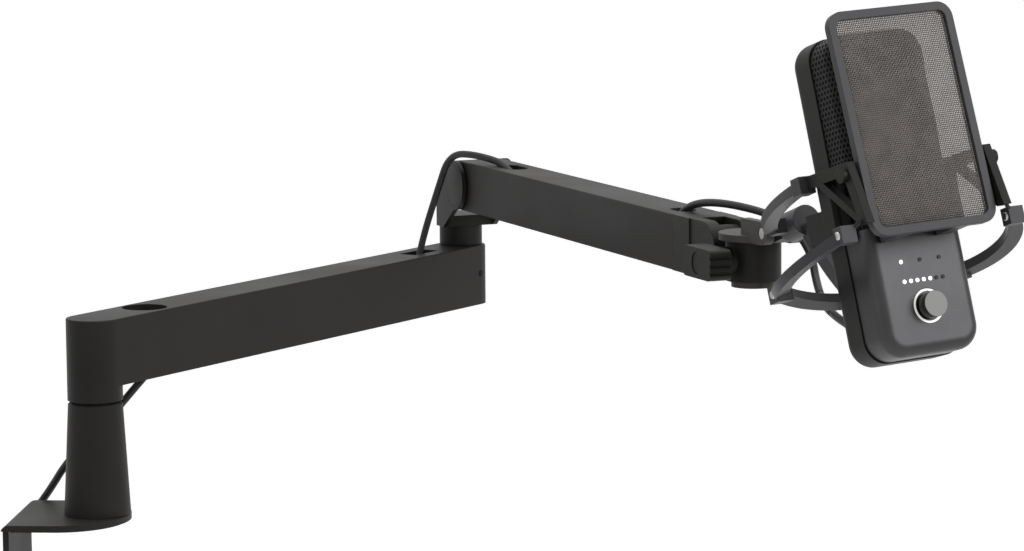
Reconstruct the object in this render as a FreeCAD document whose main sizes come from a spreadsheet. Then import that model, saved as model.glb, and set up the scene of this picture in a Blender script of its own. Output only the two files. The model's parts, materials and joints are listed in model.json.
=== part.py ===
import FreeCAD, Part
import math
import os
import re
import Sketcher

# Microphone boom arm that clamps to a desk edge, with a microphone in an elastic mount.
# Frame: the origin lies on the desk top under the post, X points into the desk,
# Y runs along the desk edge and Z points up. All lengths are in millimetres.

Vector = FreeCAD.Vector
Rotation = FreeCAD.Rotation
Placement = FreeCAD.Placement
HOME = Placement()

# Sizes: plain numbers are measured or chosen, formulas follow from them

SIZES = [
    ("pad_thickness", "0.8"),
    ("plate_thickness", "3.2"),
    ("plate_width", "73"),
    ("plate_tip", "18"),
    ("bend_reach", "43"),
    ("bend_radius", "4.5"),
    ("wall_width", "60"),
    ("jaw_depth", "78"),
    ("jaw_width", "44"),
    ("screw_reach", "8"),
    ("screw_width", "10"),
    ("screw_length", "72"),
    ("nut_width", "18"),
    ("nut_height", "15"),
    ("foot_drop", "36"),
    ("foot_width", "40"),
    ("foot_thickness", "3"),
    ("foot_pad_thickness", "2"),
    ("socket_width", "18"),
    ("socket_height", "6"),
    ("clamp_knob_width", "40"),
    ("clamp_knob_height", "16"),
    ("scallop_width", "12"),
    ("running_gap", "0.03"),
    ("face_gap", "0.02"),
    ("post_foot_width", "36"),
    ("post_head_width", "29.6"),
    ("post_height", "61.5"),
    ("seam_gap", "1.2"),
    ("spindle_width", "20"),
    ("journal_width", "12"),
    ("journal_length", "34"),
    ("bolt_width", "8"),
    ("bolt_length", "26"),
    ("bolt_head_width", "15"),
    ("bush_wall", "2"),
    ("washer_width", "25"),
    ("set_screw_width", "5"),
    ("arm_width", "30"),
    ("hub_height", "44.6"),
    ("lower_height", "36.5"),
    ("lower_reach", "365"),
    ("heading_lower", "62.4"),
    ("channel_width", "19"),
    ("top_wall", "4"),
    ("channel_start", "17"),
    ("channel_stop", "27"),
    ("cover_start", "62"),
    ("cover_thickness", "2"),
    ("cover_gap", "0.15"),
    ("cable_hole_width", "25"),
    ("cable_hole_reach", "45"),
    ("slot_width", "12"),
    ("slot_start", "60"),
    ("slot_stop", "34"),
    ("swivel_width", "26.2"),
    ("swivel_height", "12.5"),
    ("elbow_gap", "0.6"),
    ("elbow_pin_width", "16"),
    ("elbow_pin_depth", "29"),
    ("saddle_height", "6.5"),
    ("saddle_front", "16"),
    ("tilt_reach", "34"),
    ("tilt_rise", "40.6"),
    ("tilt_bolt_width", "8"),
    ("friction_thickness", "0.8"),
    ("friction_width", "24"),
    ("cheek_thickness", "2.8"),
    ("cheek_rear", "4.6"),
    ("cheek_shoulder", "31"),
    ("cheek_cap_width", "25"),
    ("cheek_cap_depth", "1.2"),
    ("heading_upper", "-63.5"),
    ("upper_width", "28.2"),
    ("upper_height", "30"),
    ("upper_reach", "348"),
    ("upper_channel_width", "18"),
    ("upper_channel_start", "58"),
    ("entry_width", "14"),
    ("entry_start", "72"),
    ("entry_stop", "100"),
    ("exit_back", "26"),
    ("exit_length", "18"),
    ("head_step", "36"),
    ("plug_length", "16"),
    ("band_step", "21"),
    ("cap_step", "0.8"),
    ("cap_screw_width", "3"),
    ("fork_slot", "13"),
    ("tongue_gap", "0.3"),
    ("head_pin_width", "7"),
    ("knuckle_reach", "34"),
    ("knuckle_width", "29"),
    ("knuckle_height", "21"),
    ("knuckle_boss_width", "15"),
    ("knuckle_boss_reach", "20"),
    ("stem_width", "18"),
    ("flange_width", "36"),
    ("flange_thickness", "3.6"),
    ("retainer_width", "23"),
    ("retainer_thickness", "3"),
    ("wing_length", "34"),
    ("wing_height", "16"),
    ("wing_thickness", "12"),
    ("wing_screw_width", "6"),
    ("lug_reach", "26"),
    ("lug_rise", "2.5"),
    ("lug_gap", "12"),
    ("lug_thickness", "5"),
    ("tilt_pin_width", "6"),
    ("head_yaw", "5"),
    ("mount_tilt", "18.6"),
    ("frame_roll", "2.2"),
    ("mic_roll", "3.2"),
    ("mic_pitch", "2.5"),
    ("mic_reach", "98.2"),
    ("mic_drop", "1.4"),
    ("hub_wall", "3.2"),
    ("bar_width", "7.5"),
    ("bar_thickness", "5"),
    ("hoop_space", "19.2"),
    ("hoop_drop", "48.4"),
    ("corner_step", "13.4"),
    ("corner_spread", "4"),
    ("corner_drop", "42.4"),
    ("side_front", "10"),
    ("side_spread", "12"),
    ("side_drop", "36.4"),
    ("tip_front", "38.2"),
    ("tip_drop", "27.4"),
    ("bow_root", "14"),
    ("bow_bend", "44"),
    ("bow_bulge", "33"),
    ("bow_lift", "2.4"),
    ("bow_back", "1.2"),
    ("bow_rise", "5.1"),
    ("strut_bend", "54"),
    ("strut_drop", "30.4"),
    ("corner_clip", "9"),
    ("tip_clip", "7"),
    ("bow_clip", "8"),
    ("band_gap", "2.25"),
    ("band_width", "2.6"),
    ("edge_round", "0.8"),
    ("wing_corner", "3.5"),
    ("wing_cap_width", "12"),
    ("lug_radius", "6"),
    ("stud_width", "9.5"),
    ("stud_start", "12"),
    ("stud_stop", "26"),
    ("strap_gap", "0.6"),
    ("strap_thickness", "4"),
    ("pad_reach", "16"),
    ("pad_low", "-24"),
    ("pad_high", "-6"),
    ("plate_rear", "4"),
    ("plate_front", "41"),
    ("plate_lean", "8"),
    ("plate_rim", "6"),
    ("plate_wall", "4.5"),
    ("plate_low", "-20"),
    ("plate_high", "11"),
    ("spacer_length", "10"),
    ("button_width", "7"),
    ("button_height", "3"),
    ("mic_inset", "5"),
    ("shaft_width", "6"),
    ("capsule_width", "22"),
    ("capsule_depth", "10"),
    ("capsule_rise", "34"),
    ("board_reach", "4"),
    ("board_thickness", "1.6"),
    ("post_side", "18"),
    ("foot_inner", "12"),
    ("foot_outer", "20"),
    ("mic_width", "56.6"),
    ("mic_back", "13"),
    ("mic_front", "24"),
    ("mic_top", "76.5"),
    ("mic_bottom", "84.5"),
    ("mic_seam", "5"),
    ("mic_wall", "3"),
    ("mic_gap", "0.4"),
    ("mic_corner", "12"),
    ("mic_edge", "6"),
    ("panel_top", "-20"),
    ("pad_grip", "4.2"),
    ("cradle_gap", "0.5"),
    ("dial_width", "12.8"),
    ("dial_height", "5.6"),
    ("dial_drop", "61"),
    ("dial_travel", "0.8"),
    ("ring_width", "17"),
    ("ring_rim", "1.2"),
    ("ring_thickness", "0.9"),
    ("lamp_width", "2"),
    ("lamp_pitch", "3.7"),
    ("lamp_thickness", "0.4"),
    ("meter_rise", "13"),
    ("status_rise", "22.7"),
    ("status_pitch", "11"),
    ("pop_width", "71"),
    ("pop_height", "110.4"),
    ("pop_space", "14.1"),
    ("pop_rise", "28"),
    ("pop_lean", "2.5"),
    ("pop_corner", "8"),
    ("pop_clear", "1.5"),
    ("pop_rim", "4.2"),
    ("pop_thickness", "4"),
    ("mesh_depth", "1.5"),
    ("mesh_thickness", "0.4"),
    ("cable_width", "4.2"),
    ("end_gap", "0.5"),
    ("run_start", "85"),
    ("coil_radius", "23"),
    ("coil_pitch", "4.9"),
    ("coil_turns", "6"),
    ("coil_side", "20"),
    ("coil_drop", "52"),
    ("tie_width", "10"),
    ("tie_wall", "1.2"),
    ("plug_reach", "17"),
    ("plate_top", "=pad_thickness + plate_thickness"),
    ("post_top", "=plate_top + post_height"),
    ("hub_bottom", "=post_top + seam_gap"),
    ("lower_top", "=hub_bottom + hub_height"),
    ("lower_bottom", "=lower_top - lower_height"),
    ("channel_roof", "=lower_top - top_wall"),
    ("tip_centre", "=plate_tip - plate_width / 2"),
    ("outer_bend", "=bend_reach + plate_thickness"),
    ("jaw_top", "=0 - jaw_depth"),
    ("jaw_bottom", "=jaw_top - plate_thickness"),
    ("foot_top", "=0 - foot_drop"),
    ("foot_plate_top", "=foot_top - foot_pad_thickness"),
    ("foot_plate_bottom", "=foot_plate_top - foot_thickness"),
    ("knob_top", "=foot_plate_bottom - screw_length"),
    ("knob_bottom", "=knob_top - clamp_knob_height"),
    ("knob_radius", "=clamp_knob_width / 2"),
    ("post_foot_radius", "=post_foot_width / 2"),
    ("post_head_radius", "=post_head_width / 2"),
    ("spindle_radius", "=spindle_width / 2"),
    ("spindle_bore", "=spindle_radius + running_gap"),
    ("journal_radius", "=journal_width / 2"),
    ("journal_top", "=hub_bottom + journal_length"),
    ("groove_level", "=lower_bottom + 9"),
    ("groove_half", "=set_screw_width / 2 + 0.3"),
    ("groove_depth", "=1"),
    ("elbow_groove_level", "=lower_top - 13.5"),
    ("elbow_pin_radius", "=elbow_pin_width / 2"),
    ("elbow_pin_bottom", "=lower_top - elbow_pin_depth"),
    ("bush_radius", "=journal_width / 2 + bush_wall"),
    ("elbow_bush_radius", "=elbow_pin_width / 2 + bush_wall"),
    ("yoke_bottom", "=lower_top + elbow_gap"),
    ("swivel_top", "=yoke_bottom + swivel_height"),
    ("saddle_top", "=swivel_top + saddle_height"),
    ("tilt_level", "=lower_top + tilt_rise"),
    ("upper_half", "=upper_height / 2"),
    ("upper_top", "=tilt_level + upper_half"),
    ("upper_bottom", "=tilt_level - upper_half"),
    ("upper_side", "=upper_width / 2"),
    ("cheek_inner", "=upper_side + friction_thickness"),
    ("cheek_outer", "=cheek_inner + cheek_thickness"),
    ("shoulder_level", "=lower_top + cheek_shoulder"),
    ("disc_bottom", "=tilt_level - upper_half"),
    ("disc_lean_x", "=tilt_reach - upper_half * 0.78"),
    ("disc_lean_z", "=tilt_level + upper_half * 0.62"),
    ("tongue_half", "=fork_slot / 2 - tongue_gap"),
    ("head_reach", "=upper_reach + head_step"),
    ("cap_band", "=upper_reach + band_step"),
    ("exit_start", "=upper_reach - exit_back"),
    ("exit_stop", "=exit_start + exit_length"),
    ("stem_reach", "=head_reach + knuckle_reach"),
    ("knuckle_bottom", "=tilt_level - knuckle_height / 2 - 2"),
    ("knuckle_top", "=knuckle_bottom + knuckle_height"),
    ("flange_bottom", "=knuckle_top + 0.3"),
    ("flange_top", "=flange_bottom + flange_thickness"),
    ("wing_face", "=knuckle_boss_reach + 0.4 + wing_thickness"),
    ("pin_level", "=flange_top + lug_rise"),
    ("wing_level", "=tilt_level - 2"),
    ("mic_half", "=mic_width / 2"),
    ("grille_back", "=mic_seam + mic_gap"),
    ("pad_inner", "=mic_half + cradle_gap"),
    ("pad_outer", "=pad_inner + pad_grip"),
    ("strap_inner", "=mic_back + strap_gap"),
    ("strap_outer", "=strap_inner + strap_thickness"),
    ("plate_inner", "=pop_width / 2 + pop_clear"),
    ("plate_outer", "=plate_inner + plate_wall"),
    ("clip_width", "=bar_width + 1"),
    ("hoop_back", "=strap_outer + hoop_space"),
    ("corner_back", "=hoop_back - corner_step"),
    ("tip_side", "=plate_outer + band_gap + clip_width / 2"),
    ("corner_side", "=tip_side + corner_spread"),
    ("side_bulge", "=tip_side + side_spread"),
    ("bow_side", "=plate_outer - 0.5"),
    ("pop_reach", "=mic_front + pop_space"),
    ("foot_level", "=pop_rim - pop_height / 2"),
    ("foot_slope", "=pop_space - foot_level * sin(pop_lean * 1 deg)"),
    ("foot_reach", "=foot_slope / cos(pop_lean * 1 deg) - face_gap"),
    ("dial_start", "=mic_front + dial_travel + 0.4"),
    ("shaft_end", "=dial_start + dial_height - 3"),
]

doc = FreeCAD.newDocument("boom_arm")
dims = doc.addObject("Spreadsheet::Sheet", "dims")
CELLS = {}
for row, (name, text) in enumerate(SIZES, start=1):
    dims.set("A%d" % row, name)
    dims.set("B%d" % row, text)
    dims.setAlias("B%d" % row, name)
    CELLS[name] = "B%d" % row
doc.recompute()
PIECES = []


def size(name):
    """Value of one named size."""
    return float(getattr(dims, name))


def bound(text):
    """Expression in which each size name points to its cell."""
    def cell(word):
        name = word.group(0)
        return "dims." + name if name in CELLS else name

    return re.sub(r"[a-z]\w+", cell, str(text))


def total(text):
    """Value of a sum of sizes and numbers."""
    value = 0.0
    for sign, word in re.findall(r"([+-]?)\s*([\w.]+)", str(text)):
        amount = size(word) if word in CELLS else float(word)
        value += -amount if sign == "-" else amount
    return value


# Frames of the sub-assemblies in the rest pose


def at_point(x, y, z):
    return Placement(Vector(x, y, z), Rotation())


def turned(axis, degrees):
    return Placement(Vector(), Rotation(Vector(*axis), degrees))


LOWER = turned((0, 0, 1), size("heading_lower"))
ELBOW_SPOT = LOWER.multVec(Vector(size("lower_reach"), 0, 0))
UPPER = at_point(*ELBOW_SPOT) * turned((0, 0, 1), size("heading_upper"))
SWIVEL = UPPER * at_point(size("stem_reach"), 0, 0) * turned((0, 0, 1), size("head_yaw"))
PIVOT = SWIVEL * at_point(size("lug_reach"), 0, size("pin_level")) * turned((0, 1, 0), -size("mount_tilt"))
FRAME = PIVOT * turned((1, 0, 0), size("frame_roll"))
CRADLE = PIVOT * turned((1, 0, 0), size("mic_roll")) * at_point(size("mic_reach"), 0, -size("mic_drop"))
MIC = CRADLE * turned((0, 1, 0), size("mic_pitch"))
POP = MIC * at_point(size("pop_reach"), 0, size("pop_rise")) * turned((0, 1, 0), -size("pop_lean"))

# Builder for one sub-part


class Piece:
    """A body made of primitives whose sizes and spots are bound to the sheet."""

    TURNS = {"x": Rotation(Vector(0, 1, 0), 90), "y": Rotation(Vector(1, 0, 0), -90), "z": Rotation()}

    def __init__(self, label, frame=HOME):
        self.body = doc.addObject("PartDesign::Body", label)
        self.body.Label = label
        self.body.Placement = frame
        PIECES.append(self.body)

    def primitive(self, kind, sizes, spot, turn, cut):
        way = "Subtractive" if cut else "Additive"
        feature = self.body.newObject(f"PartDesign::{way}{kind}", kind.lower())
        for name, text in sizes.items():
            feature.setExpression(name, bound(text))
        feature.Placement = Placement(Vector(), turn)
        for axis, text in zip("xyz", spot):
            feature.setExpression("Placement.Base." + axis, bound(text))
        return feature

    def box(self, low_x, high_x, low_y, high_y, low_z, high_z, cut=False):
        sides = {"Length": f"({high_x}) - ({low_x})", "Width": f"({high_y}) - ({low_y})",
                 "Height": f"({high_z}) - ({low_z})"}
        self.primitive("Box", sides, (low_x, low_y, low_z), Rotation(), cut)
        return self

    def spot(self, axis, start, first, second):
        """Spot of a round primitive: its start on its own axis, then the two other coordinates."""
        others = [first, second]
        return [start if name == axis else others.pop(0) for name in "xyz"]

    def rod(self, axis, radius, start, stop, first=0, second=0, cut=False):
        sizes = {"Radius": radius, "Height": f"({stop}) - ({start})"}
        self.primitive("Cylinder", sizes, self.spot(axis, start, first, second), self.TURNS[axis], cut)
        return self

    def cone(self, axis, radius, far_radius, start, stop, first=0, second=0, cut=False):
        sizes = {"Radius1": radius, "Radius2": far_radius, "Height": f"({stop}) - ({start})"}
        self.primitive("Cone", sizes, self.spot(axis, start, first, second), self.TURNS[axis], cut)
        return self

    def sketch(self, corners):
        """Closed outline in the XZ plane, each corner bound by its two coordinates."""
        sketch = self.body.newObject("Sketcher::SketchObject", "outline")
        sketch.Placement = Placement(Vector(), Rotation(Vector(1, 0, 0), 90))
        points = [Vector(total(x), total(z), 0) for x, z in corners]
        count = len(points)
        for index in range(count):
            sketch.addGeometry(Part.LineSegment(points[index], points[(index + 1) % count]), False)
        for index in range(count):
            sketch.addConstraint(Sketcher.Constraint("Coincident", index, 2, (index + 1) % count, 1))
        for index, (x, z) in enumerate(corners):
            for way, text, value in (("X", x, points[index].x), ("Y", z, points[index].y)):
                number = sketch.addConstraint(Sketcher.Constraint("Distance" + way, -1, 1, index, 1, value))
                sketch.renameConstraint(number, f"{way.lower()}_{index}")
                sketch.setExpression(f"Constraints.{way.lower()}_{index}", bound(text))
        return sketch

    def slab(self, corners, low_y, high_y):
        """Outline in the XZ plane given a thickness between two Y values."""
        sketch = self.sketch(corners)
        sketch.setExpression("Placement.Base.y", bound(high_y))
        pad = self.body.newObject("PartDesign::Pad", "pad")
        pad.Profile = sketch
        pad.setExpression("Length", bound(f"({high_y}) - ({low_y})"))
        return self

    def turn(self, corners):
        """Outline in the XZ plane turned about the Z axis."""
        sketch = self.sketch(corners)
        lathe = self.body.newObject("PartDesign::Revolution", "turning")
        lathe.Profile = sketch
        lathe.ReferenceAxis = (sketch, ["V_Axis"])
        lathe.Angle = 360
        return self

    def ring_of(self, count):
        """Repeat the last cut evenly round the Z axis."""
        last = self.body.Tip
        pattern = self.body.newObject("PartDesign::PolarPattern", "pattern")
        pattern.Originals = [last]
        pattern.Axis = (self.body.Origin.OriginFeatures[2], [""])
        pattern.Angle = 360
        pattern.Occurrences = count
        self.body.Tip = pattern
        return self

    def soften(self, radius, wanted, kind="Fillet"):
        """Round or bevel the edges that the test picks."""
        doc.recompute()
        base = self.body.Tip
        edges = enumerate(base.Shape.Edges, start=1)
        names = [f"Edge{number}" for number, edge in edges if wanted(edge)]
        dress = self.body.newObject("PartDesign::" + kind, kind.lower())
        dress.Base = (base, names)
        dress.setExpression("Radius" if kind == "Fillet" else "Size", bound(radius))
        return self


def along(axis):
    """Test for straight edges that run along one axis."""
    way = {"x": Vector(1, 0, 0), "y": Vector(0, 1, 0), "z": Vector(0, 0, 1)}[axis]

    def wanted(edge):
        if edge.Curve.TypeId != "Part::GeomLine":
            return False
        return abs(abs(edge.Curve.Direction.dot(way)) - 1) < 1e-6

    return wanted


def level_edges(level, outside=None):
    """Test for edges that lie flat at one height, and reach past a distance from the Z axis."""
    def wanted(edge):
        box = edge.BoundBox
        return abs(box.ZMin - level) < 1e-4 and abs(box.ZMax - level) < 1e-4 and (
            outside is None or outside(edge))

    return wanted


def solid_feature(label, shape, frame=HOME):
    """Swept piece whose shape is set from the sizes."""
    feature = doc.addObject("Part::Feature", label)
    feature.Label = label
    feature.Shape = shape
    feature.Placement = frame
    PIECES.append(feature)
    return feature


# Desk clamp

bracket = Piece("clamp_bracket")
bracket.rod("z", "plate_width / 2", "pad_thickness", "plate_top", "tip_centre", 0)
bracket.box("-outer_bend - plate_width", "-outer_bend", "-plate_width", "plate_width",
            "pad_thickness", "plate_top", cut=True)
bracket.box("-outer_bend", "tip_centre", "-plate_width / 2", "plate_width / 2",
            "pad_thickness", "plate_top")
bracket.box("-outer_bend", "-bend_reach", "-wall_width / 2", "wall_width / 2", "jaw_bottom", "plate_top")
bracket.box("-outer_bend", "-screw_reach", "-jaw_width / 2", "jaw_width / 2", "jaw_bottom", "jaw_top")
bracket.rod("z", "jaw_width / 2", "jaw_bottom", "jaw_top", "-screw_reach", 0)
bracket.rod("z", "nut_width / 2", "jaw_bottom", "jaw_top", "-screw_reach", 0, cut=True)
bracket.rod("z", "bolt_width / 2 + 0.2", "pad_thickness", "plate_top", cut=True)
bracket.cone("z", "bolt_head_width / 2 + 0.2", "bolt_width / 2 + 0.2",
             "pad_thickness", "plate_top - 0.2", cut=True)


def outer_bend_edge(edge):
    box = edge.BoundBox
    return along("y")(edge) and abs(box.XMin + size("outer_bend")) < 1e-4 and edge.Length > 40


bracket.soften("bend_radius", outer_bend_edge)

pad = Piece("desk_pad")
pad.rod("z", "plate_width / 2 - 2", 0, "pad_thickness", "tip_centre", 0)
pad.box("-bend_reach + 2 - plate_width", "-bend_reach + 2", "-plate_width", "plate_width",
        0, "pad_thickness", cut=True)
pad.box("-bend_reach + 2", "tip_centre", "-plate_width / 2 + 2", "plate_width / 2 - 2", 0, "pad_thickness")

nut = Piece("jaw_nut", at_point(-size("screw_reach"), 0, 0))
nut.rod("z", "nut_width / 2", "jaw_top - nut_height + 4", "jaw_top + 4")
nut.rod("z", "nut_width / 2 + 2", "jaw_top + face_gap", "jaw_top + 4")
nut.rod("z", "screw_width / 2 + running_gap", "jaw_top - nut_height + 4", "jaw_top + 4", cut=True)

foot = Piece("pressure_foot", at_point(-size("screw_reach"), 0, 0))
foot.rod("z", "foot_width / 2", "foot_plate_bottom", "foot_plate_top")
foot.rod("z", "socket_width / 2", "foot_plate_bottom - socket_height", "foot_plate_bottom")
foot.rod("z", "screw_width / 2 + running_gap", "foot_plate_bottom - socket_height",
         "foot_plate_bottom", cut=True)

foot_pad = Piece("foot_pad", at_point(-size("screw_reach"), 0, 0))
foot_pad.rod("z", "foot_width / 2 - 1", "foot_plate_top", "foot_top")

screw = Piece("clamp_screw", at_point(-size("screw_reach"), 0, 0))
screw.rod("z", "screw_width / 2", "knob_top - 8", "foot_plate_bottom - face_gap")

clamp_knob = Piece("clamp_knob", at_point(-size("screw_reach"), 0, 0))
clamp_knob.turn([("screw_width", "knob_top + 3"), (0, "knob_top + 3"), (0, "knob_bottom"),
                 ("screw_width", "knob_bottom"), ("knob_radius - 2", "knob_bottom + 2"),
                 ("knob_radius", "knob_bottom + 5"), ("knob_radius", "knob_top - 2"),
                 ("knob_radius - 2", "knob_top")])
clamp_knob.rod("z", "screw_width / 2", "knob_top - 8", "knob_top + 3", cut=True)
clamp_knob.rod("z", "scallop_width / 2", "knob_bottom", "knob_top + 3",
               "knob_radius + 3", 0, cut=True)
clamp_knob.ring_of(7)

# Post and base swivel

post = Piece("post_sleeve")
post.turn([("spindle_bore", "plate_top"), ("post_foot_radius", "plate_top"),
           ("post_foot_radius", "plate_top + 2"), ("post_head_radius", "post_top - 1"),
           ("post_head_radius - 1", "post_top"), ("spindle_bore", "post_top")])

spindle = Piece("post_spindle")
spindle.turn([(0, "plate_top"), ("spindle_radius", "plate_top"), ("spindle_radius", "post_top"),
              ("journal_radius", "post_top"), ("journal_radius", "groove_level - groove_half"),
              ("journal_radius - groove_depth", "groove_level - groove_half"),
              ("journal_radius - groove_depth", "groove_level + groove_half"),
              ("journal_radius", "groove_level + groove_half"), ("journal_radius", "journal_top"),
              (0, "journal_top")])
spindle.rod("z", "bolt_width / 2 + running_gap", "plate_top", "plate_top + bolt_length + 2", cut=True)

bolt = Piece("post_bolt")
bolt.cone("z", "bolt_head_width / 2", "bolt_width / 2", "pad_thickness", "plate_top - 0.2")
bolt.rod("z", "bolt_width / 2", "plate_top - 0.4", "plate_top + bolt_length")

washer = Piece("thrust_washer")
washer.rod("z", "washer_width / 2", "post_top + face_gap", "hub_bottom - face_gap")
washer.rod("z", "journal_radius + 0.1", "post_top", "hub_bottom", cut=True)

bush = Piece("hub_bush", LOWER)
bush.rod("z", "bush_radius", "hub_bottom", "journal_top")
bush.rod("z", "journal_radius + running_gap", "hub_bottom", "journal_top", cut=True)
bush.rod("y", "set_screw_width / 2 + 0.2", 0, "bush_radius + 1", 0, "groove_level", cut=True)

# Lower arm


def on_lower_rim(edge):
    middle = edge.valueAt((edge.FirstParameter + edge.LastParameter) / 2)
    nearest = min(max(middle.x, 0), size("lower_reach"))
    return math.hypot(middle.x - nearest, middle.y) > size("arm_width") / 2 - 1e-3


beam = Piece("lower_beam", LOWER)
beam.box(0, "lower_reach", "-arm_width / 2", "arm_width / 2", "lower_bottom", "lower_top")
beam.rod("z", "arm_width / 2", "hub_bottom", "lower_top")
beam.rod("z", "arm_width / 2", "lower_bottom", "lower_top", "lower_reach", 0)
beam.box("channel_start", "lower_reach - channel_stop", "-channel_width / 2", "channel_width / 2",
         "lower_bottom", "channel_roof", cut=True)
beam.rod("z", "bush_radius", "hub_bottom", "journal_top + 1", cut=True)
beam.rod("z", "elbow_bush_radius", "elbow_pin_bottom - 1", "lower_top", "lower_reach", 0, cut=True)
beam.rod("z", "cable_hole_width / 2", "channel_roof - 1", "lower_top", "cable_hole_reach", 0, cut=True)
beam.box("lower_reach - slot_start", "lower_reach - slot_stop", "-slot_width / 2", "slot_width / 2",
         "channel_roof - 1", "lower_top", cut=True)
beam.rod("y", "set_screw_width / 2 + running_gap", 0, "arm_width / 2", 0, "groove_level", cut=True)
beam.rod("x", "set_screw_width / 2 + running_gap", "lower_reach", "lower_reach + arm_width / 2", 0,
         "elbow_groove_level", cut=True)
beam.soften("edge_round", level_edges(size("lower_top"), on_lower_rim))

cover = Piece("lower_channel_cover", LOWER)
cover.box("cover_start", "lower_reach - channel_stop - cover_gap", "-channel_width / 2 + cover_gap",
          "channel_width / 2 - cover_gap", "lower_bottom", "lower_bottom + cover_thickness")

elbow_bush = Piece("elbow_bush", LOWER)
elbow_bush.rod("z", "elbow_bush_radius", "elbow_pin_bottom - 1", "lower_top", "lower_reach", 0)
elbow_bush.rod("z", "elbow_pin_radius + running_gap", "elbow_pin_bottom - 1", "lower_top",
               "lower_reach", 0, cut=True)
elbow_bush.rod("x", "set_screw_width / 2 + 0.2", "lower_reach", "lower_reach + elbow_bush_radius + 1", 0,
               "elbow_groove_level", cut=True)

set_screws = Piece("arm_set_screws", LOWER)
set_screws.rod("y", "set_screw_width / 2", "journal_radius - groove_depth + 0.3", "arm_width / 2 - 0.8",
               0, "groove_level")
set_screws.rod("y", "set_screw_width / 4", "arm_width / 2 - 3", "arm_width / 2 - 0.8",
               0, "groove_level", cut=True)
set_screws.rod("x", "set_screw_width / 2", "lower_reach + elbow_pin_radius - groove_depth + 0.3",
               "lower_reach + arm_width / 2 - 0.8", 0, "elbow_groove_level")
set_screws.rod("x", "set_screw_width / 4", "lower_reach + arm_width / 2 - 3",
               "lower_reach + arm_width / 2 - 0.8", 0, "elbow_groove_level", cut=True)

# Elbow

elbow_pin = Piece("elbow_spindle", UPPER)
elbow_pin.turn([(0, "elbow_pin_bottom"), ("elbow_pin_radius", "elbow_pin_bottom"),
                ("elbow_pin_radius", "elbow_groove_level - groove_half"),
                ("elbow_pin_radius - groove_depth", "elbow_groove_level - groove_half"),
                ("elbow_pin_radius - groove_depth", "elbow_groove_level + groove_half"),
                ("elbow_pin_radius", "elbow_groove_level + groove_half"),
                ("elbow_pin_radius", "swivel_top - 2"), (0, "swivel_top - 2")])

elbow_washer = Piece("elbow_washer", UPPER)
elbow_washer.rod("z", "swivel_width / 2 - 0.6", "lower_top + face_gap", "yoke_bottom - face_gap")
elbow_washer.rod("z", "elbow_pin_radius + 0.1", "lower_top", "yoke_bottom", cut=True)

yoke = Piece("elbow_yoke", UPPER)
yoke.rod("z", "swivel_width / 2", "yoke_bottom", "saddle_top")
yoke.box("cheek_rear", "saddle_front", "-cheek_outer", "cheek_outer", "swivel_top", "saddle_top")
CHEEK = [("cheek_rear", "swivel_top"), ("saddle_front", "swivel_top"), ("tilt_reach", "disc_bottom"),
         ("tilt_reach", "tilt_level"), ("disc_lean_x", "disc_lean_z"), ("cheek_rear", "shoulder_level")]
for low_y, high_y in (("-cheek_outer", "-cheek_inner"), ("cheek_inner", "cheek_outer")):
    yoke.slab(CHEEK, low_y, high_y)
    yoke.rod("y", "upper_half", low_y, high_y, "tilt_reach", "tilt_level")
yoke.rod("z", "elbow_pin_radius + face_gap", "yoke_bottom", "swivel_top - 2 + face_gap", cut=True)
yoke.rod("y", "tilt_bolt_width / 2 + running_gap", "-cheek_outer", "cheek_outer",
         "tilt_reach", "tilt_level", cut=True)
for low_y, high_y in (("-cheek_outer", "-cheek_outer + cheek_cap_depth"),
                      ("cheek_outer - cheek_cap_depth", "cheek_outer")):
    yoke.rod("y", "cheek_cap_width / 2", low_y, high_y, "tilt_reach", "tilt_level", cut=True)

tilt_bolt = Piece("tilt_bolt", UPPER)
tilt_bolt.rod("y", "tilt_bolt_width / 2", "-cheek_outer + cheek_cap_depth + 0.1",
              "cheek_outer - cheek_cap_depth - 0.1", "tilt_reach", "tilt_level")

discs = Piece("friction_washers", UPPER)
for low_y, high_y in (("-cheek_inner + face_gap", "-upper_side - face_gap"),
                      ("upper_side + face_gap", "cheek_inner - face_gap")):
    discs.rod("y", "friction_width / 2", low_y, high_y, "tilt_reach", "tilt_level")
    discs.rod("y", "tilt_bolt_width / 2 + 0.1", low_y, high_y, "tilt_reach", "tilt_level", cut=True)

cheek_caps = Piece("cheek_caps", UPPER)
for low_y, high_y in (("-cheek_outer", "-cheek_outer + cheek_cap_depth - face_gap"),
                      ("cheek_outer - cheek_cap_depth + face_gap", "cheek_outer")):
    cheek_caps.rod("y", "cheek_cap_width / 2 - 0.15", low_y, high_y, "tilt_reach", "tilt_level")

# Upper arm


def slot_cut(piece, start, stop, width, floor, roof):
    """Round-ended slot along X through a top wall."""
    near, far = f"{start} + {width} / 2", f"{stop} - {width} / 2"
    piece.box(near, far, f"-{width} / 2", f"{width} / 2", floor, roof, cut=True)
    piece.rod("z", f"{width} / 2", floor, roof, near, 0, cut=True)
    piece.rod("z", f"{width} / 2", floor, roof, far, 0, cut=True)


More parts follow.
